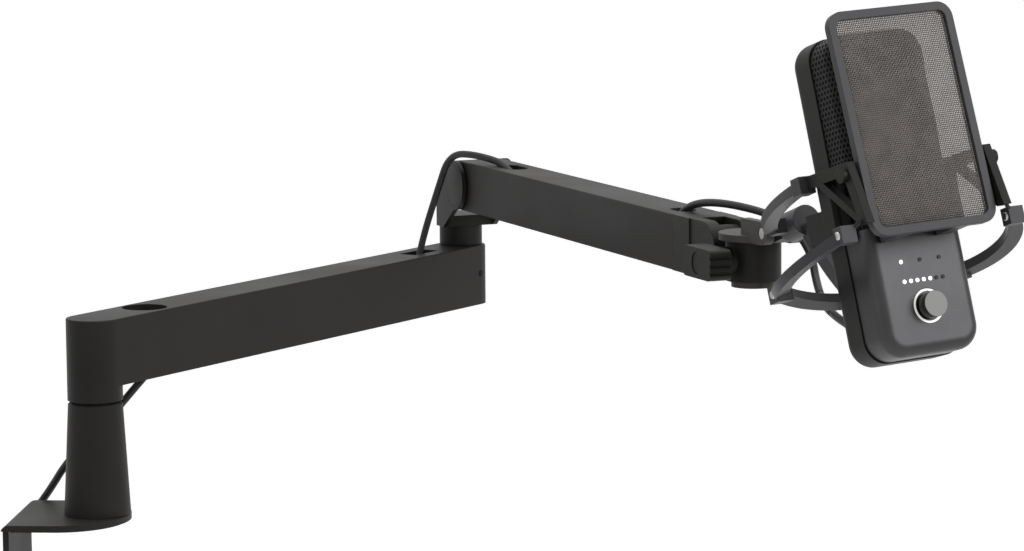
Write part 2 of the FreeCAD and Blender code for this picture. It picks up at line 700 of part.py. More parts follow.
upper = Piece("upper_beam", UPPER)
upper.box("tilt_reach", "upper_reach", "-upper_side", "upper_side", "upper_bottom", "upper_top")
upper.rod("y", "upper_half", "-upper_side", "upper_side", "tilt_reach", "tilt_level")
upper.box("upper_channel_start", "upper_reach", "-upper_channel_width / 2", "upper_channel_width / 2",
          "upper_bottom", "upper_top - top_wall", cut=True)
upper.rod("y", "tilt_bolt_width / 2 + running_gap", "-upper_side", "upper_side",
          "tilt_reach", "tilt_level", cut=True)
slot_cut(upper, "entry_start", "entry_stop", "entry_width", "upper_top - top_wall - 1", "upper_top")
slot_cut(upper, "exit_start", "exit_stop", "slot_width", "upper_top - top_wall - 1", "upper_top")
upper.rod("y", "cap_screw_width / 2 + running_gap", 0, "upper_side", "upper_reach - plug_length / 2",
          "tilt_level", cut=True)


def upper_long_edge(edge):
    box = edge.BoundBox
    return along("x")(edge) and abs(abs(box.YMin) - size("upper_side")) < 1e-4


upper.soften("edge_round", upper_long_edge)

upper_cover = Piece("upper_channel_cover", UPPER)
upper_cover.box("upper_channel_start + cover_gap", "upper_reach - plug_length - cover_gap",
                "-upper_channel_width / 2 + cover_gap", "upper_channel_width / 2 - cover_gap",
                "upper_bottom", "upper_bottom + cover_thickness")

cap = Piece("end_cap", UPPER)
cap.box("upper_reach", "head_reach", "-upper_side", "upper_side", "upper_bottom", "upper_top")
cap.rod("y", "upper_half", "-upper_side", "upper_side", "head_reach", "tilt_level")
cap.box("upper_reach - plug_length", "upper_reach", "-upper_channel_width / 2 + cover_gap",
        "upper_channel_width / 2 - cover_gap", "upper_bottom", "upper_top - top_wall - cover_gap")
for low_y, high_y in (("-upper_side", "-upper_side + cap_step"),
                      ("upper_side - cap_step", "upper_side")):
    cap.box("cap_band", "head_reach + upper_half", low_y, high_y, "upper_bottom", "upper_top", cut=True)
cap.box("head_reach - upper_half", "head_reach + upper_half", "-fork_slot / 2", "fork_slot / 2",
        "upper_bottom", "upper_top", cut=True)
cap.rod("y", "head_pin_width / 2 + running_gap", "-upper_side", "upper_side",
        "head_reach", "tilt_level", cut=True)
cap.rod("y", "cap_screw_width / 2 + running_gap", "upper_channel_width / 2 - 5", "upper_side",
        "upper_reach - plug_length / 2", "tilt_level", cut=True)

cap_screw = Piece("cap_screw", UPPER)
cap_screw.rod("y", "cap_screw_width / 2", "upper_channel_width / 2 - 4.5", "upper_side - 0.4",
              "upper_reach - plug_length / 2", "tilt_level")

head_pin = Piece("head_pin", UPPER)
head_pin.rod("y", "head_pin_width / 2", "-upper_side + cap_step + 0.6", "upper_side - cap_step - 0.6",
             "head_reach", "tilt_level")

# Knuckle with its wing knob

knuckle = Piece("knuckle", UPPER)
knuckle.rod("y", "upper_half - 2.5", "-tongue_half", "tongue_half", "head_reach", "tilt_level")
knuckle.box("head_reach", "stem_reach", "-tongue_half", "tongue_half",
            "knuckle_bottom + 4", "knuckle_top - 1")
knuckle.rod("z", "knuckle_width / 2", "knuckle_bottom", "knuckle_top", "stem_reach", 0)
knuckle.rod("y", "knuckle_boss_width / 2", "-knuckle_boss_reach", 0, "stem_reach", "wing_level")
knuckle.rod("z", "stem_width / 2 + running_gap", "knuckle_bottom", "knuckle_top", "stem_reach", 0, cut=True)
knuckle.rod("y", "wing_screw_width / 2 + running_gap", "-knuckle_boss_reach", 0,
            "stem_reach", "wing_level", cut=True)
knuckle.rod("y", "head_pin_width / 2 + running_gap", "-tongue_half", "tongue_half",
            "head_reach", "tilt_level", cut=True)

wing = Piece("wing_knob", UPPER)
wing.box("stem_reach - wing_length / 2", "stem_reach + wing_length / 2",
         "-wing_face", "-wing_face + wing_thickness",
         "wing_level - wing_height / 2", "wing_level + wing_height / 2")
wing.soften("wing_corner", along("y"))
wing.rod("y", "wing_cap_width / 2", "-wing_face", "-wing_face + 2", "stem_reach", "wing_level", cut=True)
wing.rod("y", "wing_screw_width / 2", "-wing_face + 5", "-wing_face + wing_thickness",
         "stem_reach", "wing_level", cut=True)
for end in ("stem_reach - wing_length / 2", "stem_reach + wing_length / 2"):
    for step in ("-4", "0", "4"):
        wing.rod("y", "1", "-wing_face", "-wing_face + wing_thickness",
                 end, f"wing_level + {step}", cut=True)

wing_cap = Piece("wing_cap", UPPER)
wing_cap.rod("y", "wing_cap_width / 2 - 0.1", "-wing_face + 0.5", "-wing_face + 2 - face_gap",
             "stem_reach", "wing_level")

wing_screw = Piece("wing_screw", UPPER)
wing_screw.rod("y", "wing_screw_width / 2", "-wing_face + 5", "-stem_width / 2 - 0.2",
               "stem_reach", "wing_level")

# Swivel stem

stem = Piece("swivel_stem", SWIVEL)
stem.rod("z", "stem_width / 2", "knuckle_bottom - 0.3", "flange_bottom")
stem.rod("z", "flange_width / 2", "flange_bottom", "flange_top")
for low_y, high_y in (("-lug_gap / 2 - lug_thickness", "-lug_gap / 2"),
                      ("lug_gap / 2", "lug_gap / 2 + lug_thickness")):
    stem.box(6, "lug_reach", low_y, high_y, "flange_bottom", "pin_level + lug_radius")
    stem.rod("y", "lug_radius", low_y, high_y, "lug_reach", "pin_level")
stem.rod("y", "tilt_pin_width / 2 + running_gap", "-lug_gap / 2 - lug_thickness",
         "lug_gap / 2 + lug_thickness", "lug_reach", "pin_level", cut=True)

retainer = Piece("stem_retainer", SWIVEL)
retainer.rod("z", "retainer_width / 2", "knuckle_bottom - 0.3 - retainer_thickness", "knuckle_bottom - 0.3")

tilt_pin = Piece("mount_pin", SWIVEL)
tilt_pin.rod("y", "tilt_pin_width / 2", "-lug_gap / 2 - lug_thickness + 0.4",
             "lug_gap / 2 + lug_thickness - 0.4", "lug_reach", "pin_level")

# Shock mount: tilt block with a threaded stud, outer frame of curved bars, cradle

block = Piece("tilt_block", PIVOT)
block.rod("y", "lug_radius - 0.6", "-lug_gap / 2 + tongue_gap", "lug_gap / 2 - tongue_gap")
block.box(0, "stud_start", "-lug_gap / 2 + tongue_gap", "lug_gap / 2 - tongue_gap",
          "0.6 - lug_radius", "lug_radius - 0.6")
block.rod("x", "stud_width / 2", "stud_start - 2", "stud_stop")
block.rod("y", "tilt_pin_width / 2 + running_gap", "-lug_gap / 2", "lug_gap / 2", cut=True)


def bar(start, middle, stop):
    """Bar of rectangular section swept along the arc through three points."""
    path = Part.Wire([Part.Arc(Vector(*start), Vector(*middle), Vector(*stop)).toShape()])
    way = path.Edges[0].tangentAt(path.Edges[0].FirstParameter)
    normal = (Vector(*middle) - Vector(*start)).cross(Vector(*stop) - Vector(*start)).normalize()
    across = way.cross(normal).normalize()
    half_width = across * (size("bar_width") / 2)
    half_depth = normal * (size("bar_thickness") / 2)
    origin = Vector(*start)
    corners = [origin + half_width + half_depth, origin - half_width + half_depth,
               origin - half_width - half_depth, origin + half_width - half_depth]
    profile = Part.makePolygon(corners + [corners[0]])
    return path.makePipeShell([profile], True, False)


def clip(spot, length):
    """Block at a bar's end that holds an elastic band."""
    width = size("clip_width")
    corner = Vector(*spot) - Vector(length / 2, width / 2, width / 2)
    return Part.makeBox(length, width, width, corner)


def flip(point):
    """The same point on the other side."""
    return (point[0], -point[1], point[2])


reach = size("mic_reach")
HOOP_BACK = (reach - size("hoop_back"), 0, -size("hoop_drop"))
HOOP_CORNER = (reach - size("corner_back"), size("corner_side"), -size("corner_drop"))
HOOP_SIDE = (reach + size("side_front"), size("side_bulge"), -size("side_drop"))
HOOP_TIP = (reach + size("tip_front"), size("tip_side"), -size("tip_drop"))
BOW_ROOT = (size("stud_start") + size("hub_wall"), size("bow_root"), 0)
BOW_MIDDLE = (reach - size("bow_bend"), size("bow_bulge"), size("bow_lift"))
BOW_TIP = (reach - size("bow_back"), size("bow_side"), size("bow_rise"))
STRUT_ROOT = (size("stud_stop") + 1.4, 0, -size("hub_wall"))
STRUT_MIDDLE = (reach - size("strut_bend"), 0, -size("strut_drop"))

frame_bars = [bar(HOOP_CORNER, HOOP_BACK, flip(HOOP_CORNER)), bar(STRUT_ROOT, STRUT_MIDDLE, HOOP_BACK)]
for turn_side in (tuple, flip):
    frame_bars.append(bar(turn_side(HOOP_CORNER), turn_side(HOOP_SIDE), turn_side(HOOP_TIP)))
    frame_bars.append(bar(turn_side(BOW_ROOT), turn_side(BOW_MIDDLE), turn_side(BOW_TIP)))
    for spot, length in ((HOOP_CORNER, "corner_clip"), (HOOP_TIP, "tip_clip"), (BOW_TIP, "bow_clip")):
        frame_bars.append(clip(turn_side(spot), size(length)))
hub_start = size("stud_start") + 0.4
hub_length = size("stud_stop") - size("stud_start") + 2
hub = Part.makeCylinder(size("stud_width") / 2 + size("hub_wall"), hub_length,
                        Vector(hub_start, 0, 0), Vector(1, 0, 0))
yoke_width = size("bar_width")
frame_bars.append(Part.makeBox(yoke_width, 2 * size("bow_root"), yoke_width,
                               Vector(hub_start, -size("bow_root"), -yoke_width / 2)))
bore = Part.makeCylinder(size("stud_width") / 2 + size("running_gap"), hub_length - 1,
                         Vector(size("stud_start"), 0, 0), Vector(1, 0, 0))
solid_feature("shock_frame", hub.fuse(frame_bars).cut(bore).removeSplitter(), FRAME)

cradle = Piece("mic_cradle", MIC)
cradle.box("-strap_outer", "-strap_inner", "-pad_outer", "pad_outer", "pad_low", "pad_high")
ARM = [("plate_rear", "plate_high - plate_rim"), ("plate_front", "plate_high - plate_rim"),
       ("plate_front", "plate_high"), ("plate_rear", "plate_high")]
STRIP = [("plate_front - plate_rim", "plate_high"), ("plate_front", "plate_high"),
         ("plate_front + plate_lean", "plate_low"), ("plate_front + plate_lean - plate_rim", "plate_low")]
BRACE = [("plate_rear", "plate_high"), ("plate_rear + plate_rim", "plate_high"),
         ("plate_front + plate_lean", "plate_low"), ("plate_front + plate_lean - plate_rim", "plate_low")]
LEFT = (("-pad_outer", "-pad_inner"), ("-plate_inner", "-pad_outer"),
        ("-plate_outer", "-plate_inner"), ("-plate_outer - button_height", "-plate_outer"))
RIGHT = (("pad_inner", "pad_outer"), ("pad_outer", "plate_inner"),
         ("plate_inner", "plate_outer"), ("plate_outer", "plate_outer + button_height"))
for grip, spacer, plate, button in (LEFT, RIGHT):
    cradle.box("-strap_outer", "pad_reach", *grip, "pad_low", "pad_high")
    cradle.box("plate_rear", "plate_rear + spacer_length", *spacer, "pad_low + 2", "plate_high - 2")
    cradle.box("plate_rear", "pad_reach", *grip, "pad_high", "plate_high - 2")
    for outline in (ARM, STRIP, BRACE):
        cradle.slab(outline, *plate)
    cradle.rod("y", "button_width / 2", *button, "plate_front - plate_rim / 2", "plate_high - plate_rim")


def world(frame, point):
    return frame.multVec(Vector(*point))


def band(start, stop):
    """Elastic band between two points."""
    way = stop - start
    return Part.makeCylinder(size("band_width") / 2, way.Length, start, way)


def trimmed(shape, label):
    """Shape cut back to the surface of a piece."""
    doc.recompute()
    return shape.cut(doc.getObject(label).Shape)


front_anchor = (size("plate_front") + size("plate_lean") - 4, size("plate_outer") - 1.5,
                size("plate_low") + 3)
rear_anchor = (size("plate_rear") + 3, size("plate_outer") - 1.5, size("plate_high") - 3)
strap_anchor = (2 - size("strap_outer"), size("pad_outer") - 1.5, size("pad_low") + 3)
bands = []
for turn_side in (tuple, flip):
    for spot, anchor in ((HOOP_TIP, front_anchor), (BOW_TIP, rear_anchor), (HOOP_CORNER, strap_anchor)):
        bands.append(band(world(FRAME, turn_side(spot)), world(MIC, turn_side(anchor))))
bands = [trimmed(trimmed(one, "shock_frame"), "mic_cradle") for one in bands]
solid_feature("elastic_bands", Part.makeCompound(bands))

# Microphone


def outline_corner(edge):
    return along("x")(edge) and edge.BoundBox.ZMin < size("panel_top") - 2


def top_corner(edge):
    return along("x")(edge) and edge.BoundBox.ZMax > size("panel_top") + 2


def face_edges(level, keep=None):
    """Test for edges that lie in one plane of constant X."""
    def wanted(edge):
        box = edge.BoundBox
        flat = abs(box.XMin - level) < 1e-4 and abs(box.XMax - level) < 1e-4
        return flat and (keep is None or keep(edge))

    return wanted


def below_seam(edge):
    return edge.BoundBox.ZMin < size("panel_top") - 1e-3


def above_seam(edge):
    return edge.BoundBox.ZMax > size("panel_top") + size("mic_gap") + 1e-3


housing = Piece("mic_housing", MIC)
housing.box("-mic_back", "mic_seam", "-mic_half", "mic_half", "-mic_bottom", "mic_top")
housing.soften("mic_corner", along("x"))
housing.soften("mic_edge", face_edges(-size("mic_back")))
housing.box("-mic_back + mic_wall", "mic_seam", "-mic_half + mic_inset", "mic_half - mic_inset",
            "-mic_bottom + mic_inset", "mic_top - mic_inset", cut=True)
for spot_y in ("-post_side", "post_side"):
    for spot_z in ("-mic_bottom + 14", "capsule_rise + 4"):
        housing.rod("x", "3", "-mic_back + mic_wall - 0.5", "-board_reach - face_gap", spot_y, spot_z)

front = Piece("mic_front_cover", MIC)
front.box("grille_back", "mic_front", "-mic_half + 0.6", "mic_half - 0.6", "-mic_bottom + 0.6", "panel_top")
front.soften("mic_corner", outline_corner)
front.soften("mic_edge", face_edges(size("mic_front"), below_seam))
front.box("grille_back", "mic_front - mic_wall", "-mic_half + mic_inset", "mic_half - mic_inset",
          "-mic_bottom + mic_inset", "panel_top - mic_wall", cut=True)
front.rod("x", "shaft_width / 2 + running_gap", "grille_back", "mic_front", 0, "-dial_drop", cut=True)
front.rod("x", "ring_width / 2", "mic_front - ring_thickness", "mic_front", 0, "-dial_drop", cut=True)

grille = Piece("mic_grille", MIC)
grille.box("grille_back", "mic_front - 0.6", "-mic_half + 0.6", "mic_half - 0.6",
           "panel_top + mic_gap", "mic_top - 0.6")
grille.soften("mic_corner", top_corner)
grille.soften("mic_edge", face_edges(size("mic_front") - 0.6, above_seam))
grille.box("grille_back", "mic_front - 0.6 - mic_wall", "-mic_half + mic_inset", "mic_half - mic_inset",
           "panel_top + mic_gap", "mic_top - mic_inset", cut=True)

capsule = Piece("mic_capsule", MIC)
capsule.rod("x", "capsule_width / 2", 0, "capsule_depth", 0, "capsule_rise")
capsule.box("-board_reach + board_thickness + face_gap", 0, -5, 5, "capsule_rise - 5", "capsule_rise + 5")

board = Piece("mic_board", MIC)
board.box("-board_reach", "-board_reach + board_thickness", "-mic_half + mic_inset + 1",
          "mic_half - mic_inset - 1", "-mic_bottom + mic_inset + 2", "capsule_rise + 12")

shaft = Piece("dial_shaft", MIC)
shaft.rod("x", "shaft_width / 2", "-board_reach + board_thickness + face_gap", "shaft_end", 0, "-dial_drop")

dial = Piece("gain_dial", MIC)
dial.rod("x", "dial_width / 2", "dial_start", "dial_start + dial_height", 0, "-dial_drop")
dial.rod("x", "shaft_width / 2 + running_gap", "dial_start", "shaft_end + dial_travel + 0.4",
         0, "-dial_drop", cut=True)

dial_ring = Piece("dial_ring", MIC)
dial_ring.rod("x", "ring_width / 2 - 0.1", "mic_front - ring_thickness + face_gap", "mic_front",
              0, "-dial_drop")
dial_ring.rod("x", "ring_width / 2 - ring_rim", "mic_front - ring_thickness", "mic_front",
              0, "-dial_drop", cut=True)


def lamps(label, spots):
    """Group of small round lamps on the panel."""
    radius = size("lamp_width") / 2
    front_x = size("mic_front") + size("face_gap")
    height = size("lamp_thickness")
    discs = [Part.makeCylinder(radius, height, Vector(front_x, y, z), Vector(1, 0, 0)) for y, z in spots]
    solid_feature(label, Part.makeCompound(discs), MIC)


pitch = size("lamp_pitch")
meter_level = size("meter_rise") - size("dial_drop")
status_level = size("status_rise") - size("dial_drop")
meter = [((number - 3) * pitch, meter_level) for number in range(7)]
status = [((number - 1) * size("status_pitch"), status_level) for number in range(3)]
lamps("lamps_lit", meter[:5] + status[:1])
lamps("lamps_unlit", meter[5:] + status[1:])

# Pop screen in front of the grille

pop_frame = Piece("pop_frame", POP)
pop_frame.box(0, "pop_thickness", "-pop_width / 2", "pop_width / 2", "-pop_height / 2", "pop_height / 2")
pop_frame.soften("pop_corner", along("x"))
pop_frame.box(0, "pop_thickness", "-pop_width / 2 + pop_rim", "pop_width / 2 - pop_rim",
              "-pop_height / 2 + pop_rim", "pop_height / 2 - pop_rim", cut=True)
pop_frame.soften("pop_corner - pop_rim", along("x"))
for low_y, high_y in (("-foot_outer", "-foot_inner"), ("foot_inner", "foot_outer")):
    pop_frame.box("-foot_reach", 0, low_y, high_y, "-pop_height / 2", "-pop_height / 2 + pop_rim")

pop_mesh = Piece("pop_mesh", POP)
pop_mesh.box("mesh_depth", "mesh_depth + mesh_thickness",
             "-pop_width / 2 + pop_rim + 0.1", "pop_width / 2 - pop_rim - 0.1",
             "-pop_height / 2 + pop_rim + 0.1", "pop_height / 2 - pop_rim - 0.1")
pop_mesh.soften("pop_corner - pop_rim", along("x"))

# Lead: round cable along its whole route


def tube(label, points, frame=HOME):
    """Round cable along straight runs that are joined by tangent arcs."""
    radius = size("cable_width") / 2
    spots = [Vector(*point) for point in points]
    edges = []
    last = spots[0]
    tightest = None
    for before, here, after in zip(spots, spots[1:], spots[2:]):
        back, ahead = (before - here), (after - here)
        reach_in = 0.45 * min(back.Length, ahead.Length)
        turn_half = (math.pi - back.getAngle(ahead)) / 2
        bend = reach_in / math.tan(turn_half)
        tightest = bend if tightest is None else min(tightest, bend)
        enter = here + back.normalize() * reach_in
        leave = here + ahead.normalize() * reach_in
        towards = (back + ahead).normalize()
        top = here + towards * (bend / math.cos(turn_half) - bend)
        edges.append(Part.LineSegment(last, enter).toShape())
        edges.append(Part.Arc(enter, top, leave).toShape())
        last = leave
    edges.append(Part.LineSegment(last, spots[-1]).toShape())
    path = Part.Wire(edges)
    ring = Part.Wire([Part.makeCircle(radius, spots[0], spots[1] - spots[0])])
    shape = path.makePipeShell([ring], True, False)
    share = shape.Volume / (math.pi * radius * radius * path.Length)
    print(f"{label}: length {path.Length:.0f}, tightest bend {tightest:.1f}, volume share {share:.4f}")
    solid_feature(label, shape, frame)


floor = size("lower_bottom") + 12
shelf = size("upper_bottom") + 12
roof = size("lower_top")
beam_end = size("lower_reach")
run_start = size("run_start")
slot_start = beam_end - size("slot_start")
slot_stop = beam_end - size("slot_stop")
end_gap = size("end_gap")
COIL_START = Vector(-size("outer_bend") - 8, size("coil_side") + size("coil_radius"), -size("coil_drop"))

tube("cable_base", [
    world(LOWER, (run_start - size("face_gap"), 0, floor)),
    world(LOWER, (run_start - 17, 0, floor)),
    world(LOWER, (run_start - 52, 3, floor - 22.8)),
    (-4, 34, size("post_top") - 21),
    (-22, 32, size("post_top") - 38),
    (-36, 42.5, 6.5),
    (-49.5, 46.5, -10),
    (COIL_START.x, COIL_START.y + 1, -31),
    (COIL_START.x, COIL_START.y, COIL_START.z + end_gap)])


def coil(label, start, turns):
    """Hanging coil: half circles on tilted planes, each a half pitch behind the last."""
    radius = size("coil_radius")
    step = size("coil_pitch") / 2
    half_chord = math.hypot(radius, step / 2)
    edges = []
    here = start
    for number in range(2 * turns):
        side = 1 if number % 2 == 0 else -1
        after = here + Vector(-step, -2 * radius * side, 0)
        middle = (here + after) / 2 + Vector(0, 0, -half_chord * side)
        edges.append(Part.Arc(here, middle, after).toShape())
        here = after
    path = Part.Wire(edges)
    ring = Part.Wire([Part.makeCircle(size("cable_width") / 2, start, Vector(0, 0, -1))])
    shape = path.makePipeShell([ring], True, False)
    print(f"{label}: length {path.Length:.0f}, least gap {own_gap(path):.2f}")
    solid_feature(label, shape)
    return here


def own_gap(path):
    """Least gap between turns, measured on points at the same angle of neighbouring turns."""
    spots = path.discretize(Number=40 * len(path.Edges) + 1)
    ahead = [min(spot.distanceToPoint(other) for other in spots[index + 50:index + 110])
             for index, spot in enumerate(spots[:-110])]
    return min(ahead) - size("cable_width")


coil_end = coil("cable_coil", COIL_START, int(size("coil_turns")))
tube("cable_tail", [
    (coil_end.x, coil_end.y, coil_end.z - end_gap),
    (coil_end.x - 1, coil_end.y, coil_end.z - 9),
    (coil_end.x - 6, coil_end.y, coil_end.z - 17),
    (coil_end.x - 8, coil_end.y, coil_end.z - 25)])

tie_spot = at_point(COIL_START.x, COIL_START.y - size("coil_radius"), COIL_START.z + size("coil_radius"))
tie = Piece("cable_tie", tie_spot)
tie.box("-coil_pitch * coil_turns - cable_width", "cable_width - coil_pitch / 2",
        "-tie_width / 2", "tie_width / 2", "-cable_width", "cable_width")
tie.box("-coil_pitch * coil_turns - cable_width + tie_wall", "cable_width - coil_pitch / 2 - tie_wall",
        "-tie_width / 2", "tie_width / 2", "-cable_width + tie_wall", "cable_width - tie_wall", cut=True)

lower_run = Piece("cable_lower_run", LOWER)
lower_run.rod("x", "cable_width / 2", "run_start", "lower_reach - slot_start - 16", 0, "lower_bottom + 12")

tube("cable_elbow_loop", [
    world(LOWER, (slot_start - 15, 0, floor)),
    world(LOWER, (slot_start + 6, 0, floor + 4)),
    world(LOWER, (slot_stop - 9, 0, roof + 8)),
    world(LOWER, (slot_stop - 2.5, -7, roof + 37)),
    world(UPPER, (size("entry_start") - 33, -22, size("upper_top") + 5)),
    world(UPPER, (size("entry_start") - 10, -13, size("upper_top") + 6)),
    world(UPPER, (size("entry_start") + 12, 0, size("upper_top") + 0.5)),
    world(UPPER, (size("entry_stop") + 15.4, 0, shelf))])

upper_run = Piece("cable_upper_run", UPPER)
upper_run.rod("x", "cable_width / 2", "entry_stop + 17", "exit_start - 21", 0, "upper_bottom + 12")

tube("cable_head_loop", [
    world(UPPER, (size("exit_start") - 20, 0, shelf)),
    world(UPPER, (size("exit_start") - 4, 0, shelf + 5)),
    world(UPPER, (size("exit_start") + 12, 0, size("upper_top") + 3)),
    world(UPPER, (size("head_reach") - 16, 5, size("upper_top") + 8)),
    world(UPPER, (size("stem_reach") - 8, 21, size("upper_top") + 3)),
    world(UPPER, (size("stem_reach") + 16, 25, size("flange_top") - 8)),
    world(UPPER, (size("stem_reach") + 34, 20, size("flange_top") - 27)),
    world(MIC, (-58, -5, -52)),
    world(MIC, (-size("mic_back") - size("plug_reach") - 3 * end_gap, -4, -66))])

mic_plug = Piece("mic_plug", MIC)
mic_plug.box("-mic_back - plug_reach", "-mic_back - face_gap", -9, 1, -69.5, -62.5)

desk_plug = Piece("desk_plug", at_point(coil_end.x - 8, coil_end.y, coil_end.z - 25 - 2 * end_gap))
desk_plug.box(-4, 4, -6.5, 6.5, -24, -6)
desk_plug.cone("z", "cable_width / 2 + 0.6", "cable_width / 2 + 1.2", -6, 0)
desk_plug.box(-2.25, 2.25, -6, 6, -36, -24)

# Check and write


def check_and_write():
    doc.recompute()
    os.makedirs("parts", exist_ok=True)
    for feature in doc.Objects:
        if "Invalid" in feature.State or "Error" in feature.State:
            raise RuntimeError(f"{feature.Label} of {feature.getParentGeoFeatureGroup()} is not valid")
    for piece in PIECES:
        shape = piece.Shape
        if shape.isNull() or not shape.isValid() or shape.Volume <= 0:
            raise RuntimeError(piece.Label + " has no valid solid")
        shape.exportStep(os.path.join("parts", piece.Label + ".step"))
        print(f"{piece.Label}: {len(shape.Solids)} solid, {shape.Volume:.1f} mm3")
    print(f"{len(PIECES)} pieces written")


check_and_write()
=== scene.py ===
# %% [markdown]
# # A boom arm with its microphone
# The real object is an arm of folded steel and aluminium on a screw clamp. It carries a microphone in
# an elastic mount. The CAD model already holds every rigid piece in its place, so it is loaded first
# as a fixed frame, and this lesson dresses it: finishes, soft pieces, light and camera.

# %% Load the frame
import json
import math

import bmesh
import bpy
from mathutils import Matrix, Vector


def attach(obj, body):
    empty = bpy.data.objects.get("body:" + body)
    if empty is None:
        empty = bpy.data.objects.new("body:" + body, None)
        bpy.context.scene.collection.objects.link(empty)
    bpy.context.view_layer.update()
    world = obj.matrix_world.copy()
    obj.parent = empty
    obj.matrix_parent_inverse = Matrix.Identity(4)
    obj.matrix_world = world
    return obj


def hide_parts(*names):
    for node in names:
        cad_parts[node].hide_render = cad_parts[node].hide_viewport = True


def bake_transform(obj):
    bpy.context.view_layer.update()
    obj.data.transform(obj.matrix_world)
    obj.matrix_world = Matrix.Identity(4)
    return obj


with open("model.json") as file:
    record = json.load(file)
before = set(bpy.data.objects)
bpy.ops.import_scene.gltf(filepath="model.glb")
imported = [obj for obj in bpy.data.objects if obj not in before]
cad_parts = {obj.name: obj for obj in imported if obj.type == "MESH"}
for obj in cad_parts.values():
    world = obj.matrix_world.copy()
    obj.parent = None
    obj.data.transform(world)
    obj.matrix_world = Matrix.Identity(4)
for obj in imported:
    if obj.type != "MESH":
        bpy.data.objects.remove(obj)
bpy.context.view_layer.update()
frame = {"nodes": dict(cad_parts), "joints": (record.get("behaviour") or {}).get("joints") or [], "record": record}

nodes = frame["nodes"]
joints = {joint["name"]: joint for joint in frame["joints"]}
MM = 0.001

# %% [markdown]
# ## Places on the arm
# Each arm has its own direction, and the microphone leans back and rolls a little. Typing world
# numbers for points on them would be hard to follow. The joints of the record already give the axes,
# so local frames are worked out from those, and later points are given in millimetres in them. Five
# values place the dial and the pop screen on the microphone, and give the screen's lean and the
# mount's roll in degrees.

# %% Local frames from the joints
def local_frame(origin, x_axis, z_axis):
    """Matrix of a frame at origin, with its X and Z directions given."""
    x_axis, z_axis = Vector(x_axis).normalized(), Vector(z_axis).normalized()
    y_axis = z_axis.cross(x_axis)
    return Matrix.Translation(origin) @ Matrix((x_axis, y_axis, z_axis)).transposed().to_4x4()


def on(place, *millimetres):
    """World point, in metres, of a point given in millimetres in a local frame."""
    return place @ (Vector(millimetres) * MM)


UP = (0, 0, 1)
elbow_axis = Vector(joints["elbow_swivel"]["pos_m"])
tilt_axis = Vector(joints["elbow_tilt"]["pos_m"])
mount_axis = Vector(joints["mount_tilt"]["pos_m"])
front = Vector(joints["dial_turn"]["axis"])
stud = Vector(joints["frame_turn"]["axis"])
lift = Vector(joints["cradle_bounce"]["axis"])
dial_spot = Vector(joints["dial_turn"]["pos_m"])
side = -Vector(joints["mount_tilt"]["axis"])

DIAL_AHEAD, DIAL_BELOW = 24, 61
POP_SPOT, POP_LEAN, MOUNT_ROLL = (38.1, 0, 28), -2.5, 2.2
flat = Vector((1, 1, 0))
LOWER = local_frame((0, 0, 0), elbow_axis * flat, UP)
UPPER = local_frame(elbow_axis * flat, (tilt_axis - elbow_axis) * flat, UP)
MIC = local_frame(dial_spot - front * DIAL_AHEAD * MM + lift * DIAL_BELOW * MM, front, lift)
POP = MIC @ Matrix.Translation(Vector(POP_SPOT) * MM) @ Matrix.Rotation(math.radians(POP_LEAN), 4, "Y")
PIVOT = local_frame(mount_axis, stud, stud.cross(side))
MOUNT = PIVOT @ Matrix.Rotation(math.radians(MOUNT_ROLL), 4, "X")
print("microphone centre", [round(value, 4) for value in MIC.translation])

# %% [markdown]
# ## Colours and nodes
# Hex colours are what a colour picker reads from a screen, and Blender's shaders work with linear
# light, so one function converts them. One more function adds a shader node with its settings, and
# links an input when it is given another node's output. Two short ones start a material and link the
# results to its shader. Every finish below is built with these four. The scale of a pattern is 1000
# divided by its real size in millimetres.

# %% Helpers for finishes
def colour(text):
    """Linear RGBA of an sRGB hex colour."""
    parts = [int(text[start:start + 2], 16) / 255 for start in (1, 3, 5)]
    return [part / 12.92 if part < 0.04045 else ((part + 0.055) / 1.055) ** 2.4 for part in parts] + [1]


def add(tree, kind, inputs=(), **settings):
    """Adds one shader node. An input is a plain value, or a socket to link from."""
    node = tree.nodes.new("ShaderNode" + kind)
    for name, value in settings.items():
        setattr(node, name, value)
    for name, value in dict(inputs).items():
        if isinstance(value, bpy.types.NodeSocket):
            tree.links.new(value, node.inputs[name])
        else:
            node.inputs[name].default_value = value
    return node


def new_finish(name, **sockets):
    """New material with its shader. Socket names are written with underscores."""
    material = bpy.data.materials.new(name)
    material.use_nodes = True
    tree = material.node_tree
    shader = tree.nodes["Principled BSDF"]
    for socket, value in sockets.items():
        shader.inputs[socket.replace("_", " ")].default_value = value
    return material, tree, shader


def connect(tree, shader, **outputs):
    """Links these outputs to sockets of the shader, whose names are written with underscores."""
    for socket, output in outputs.items():
        tree.links.new(output, shader.inputs[socket.replace("_", " ")])


FINISHES = {}
print("a mid grey in linear light:", [round(part, 3) for part in colour("#808080")])

# %% [markdown]
# ## Powder coat on the beams, post and bracket
# Powder coat is a thermoset polyester that is sprayed as dust and baked. It leaves a matt skin with
# an orange-peel ripple of one or two millimetres and a finer grit. Handling polishes its edges, so
# the rounded-edge normal of the Bevel node is compared with the true normal to find them.

# %% Powder coat
RIPPLE_MM, CLOUD_MM, WORN_EDGE_MM = 1.6, 60, 0.7


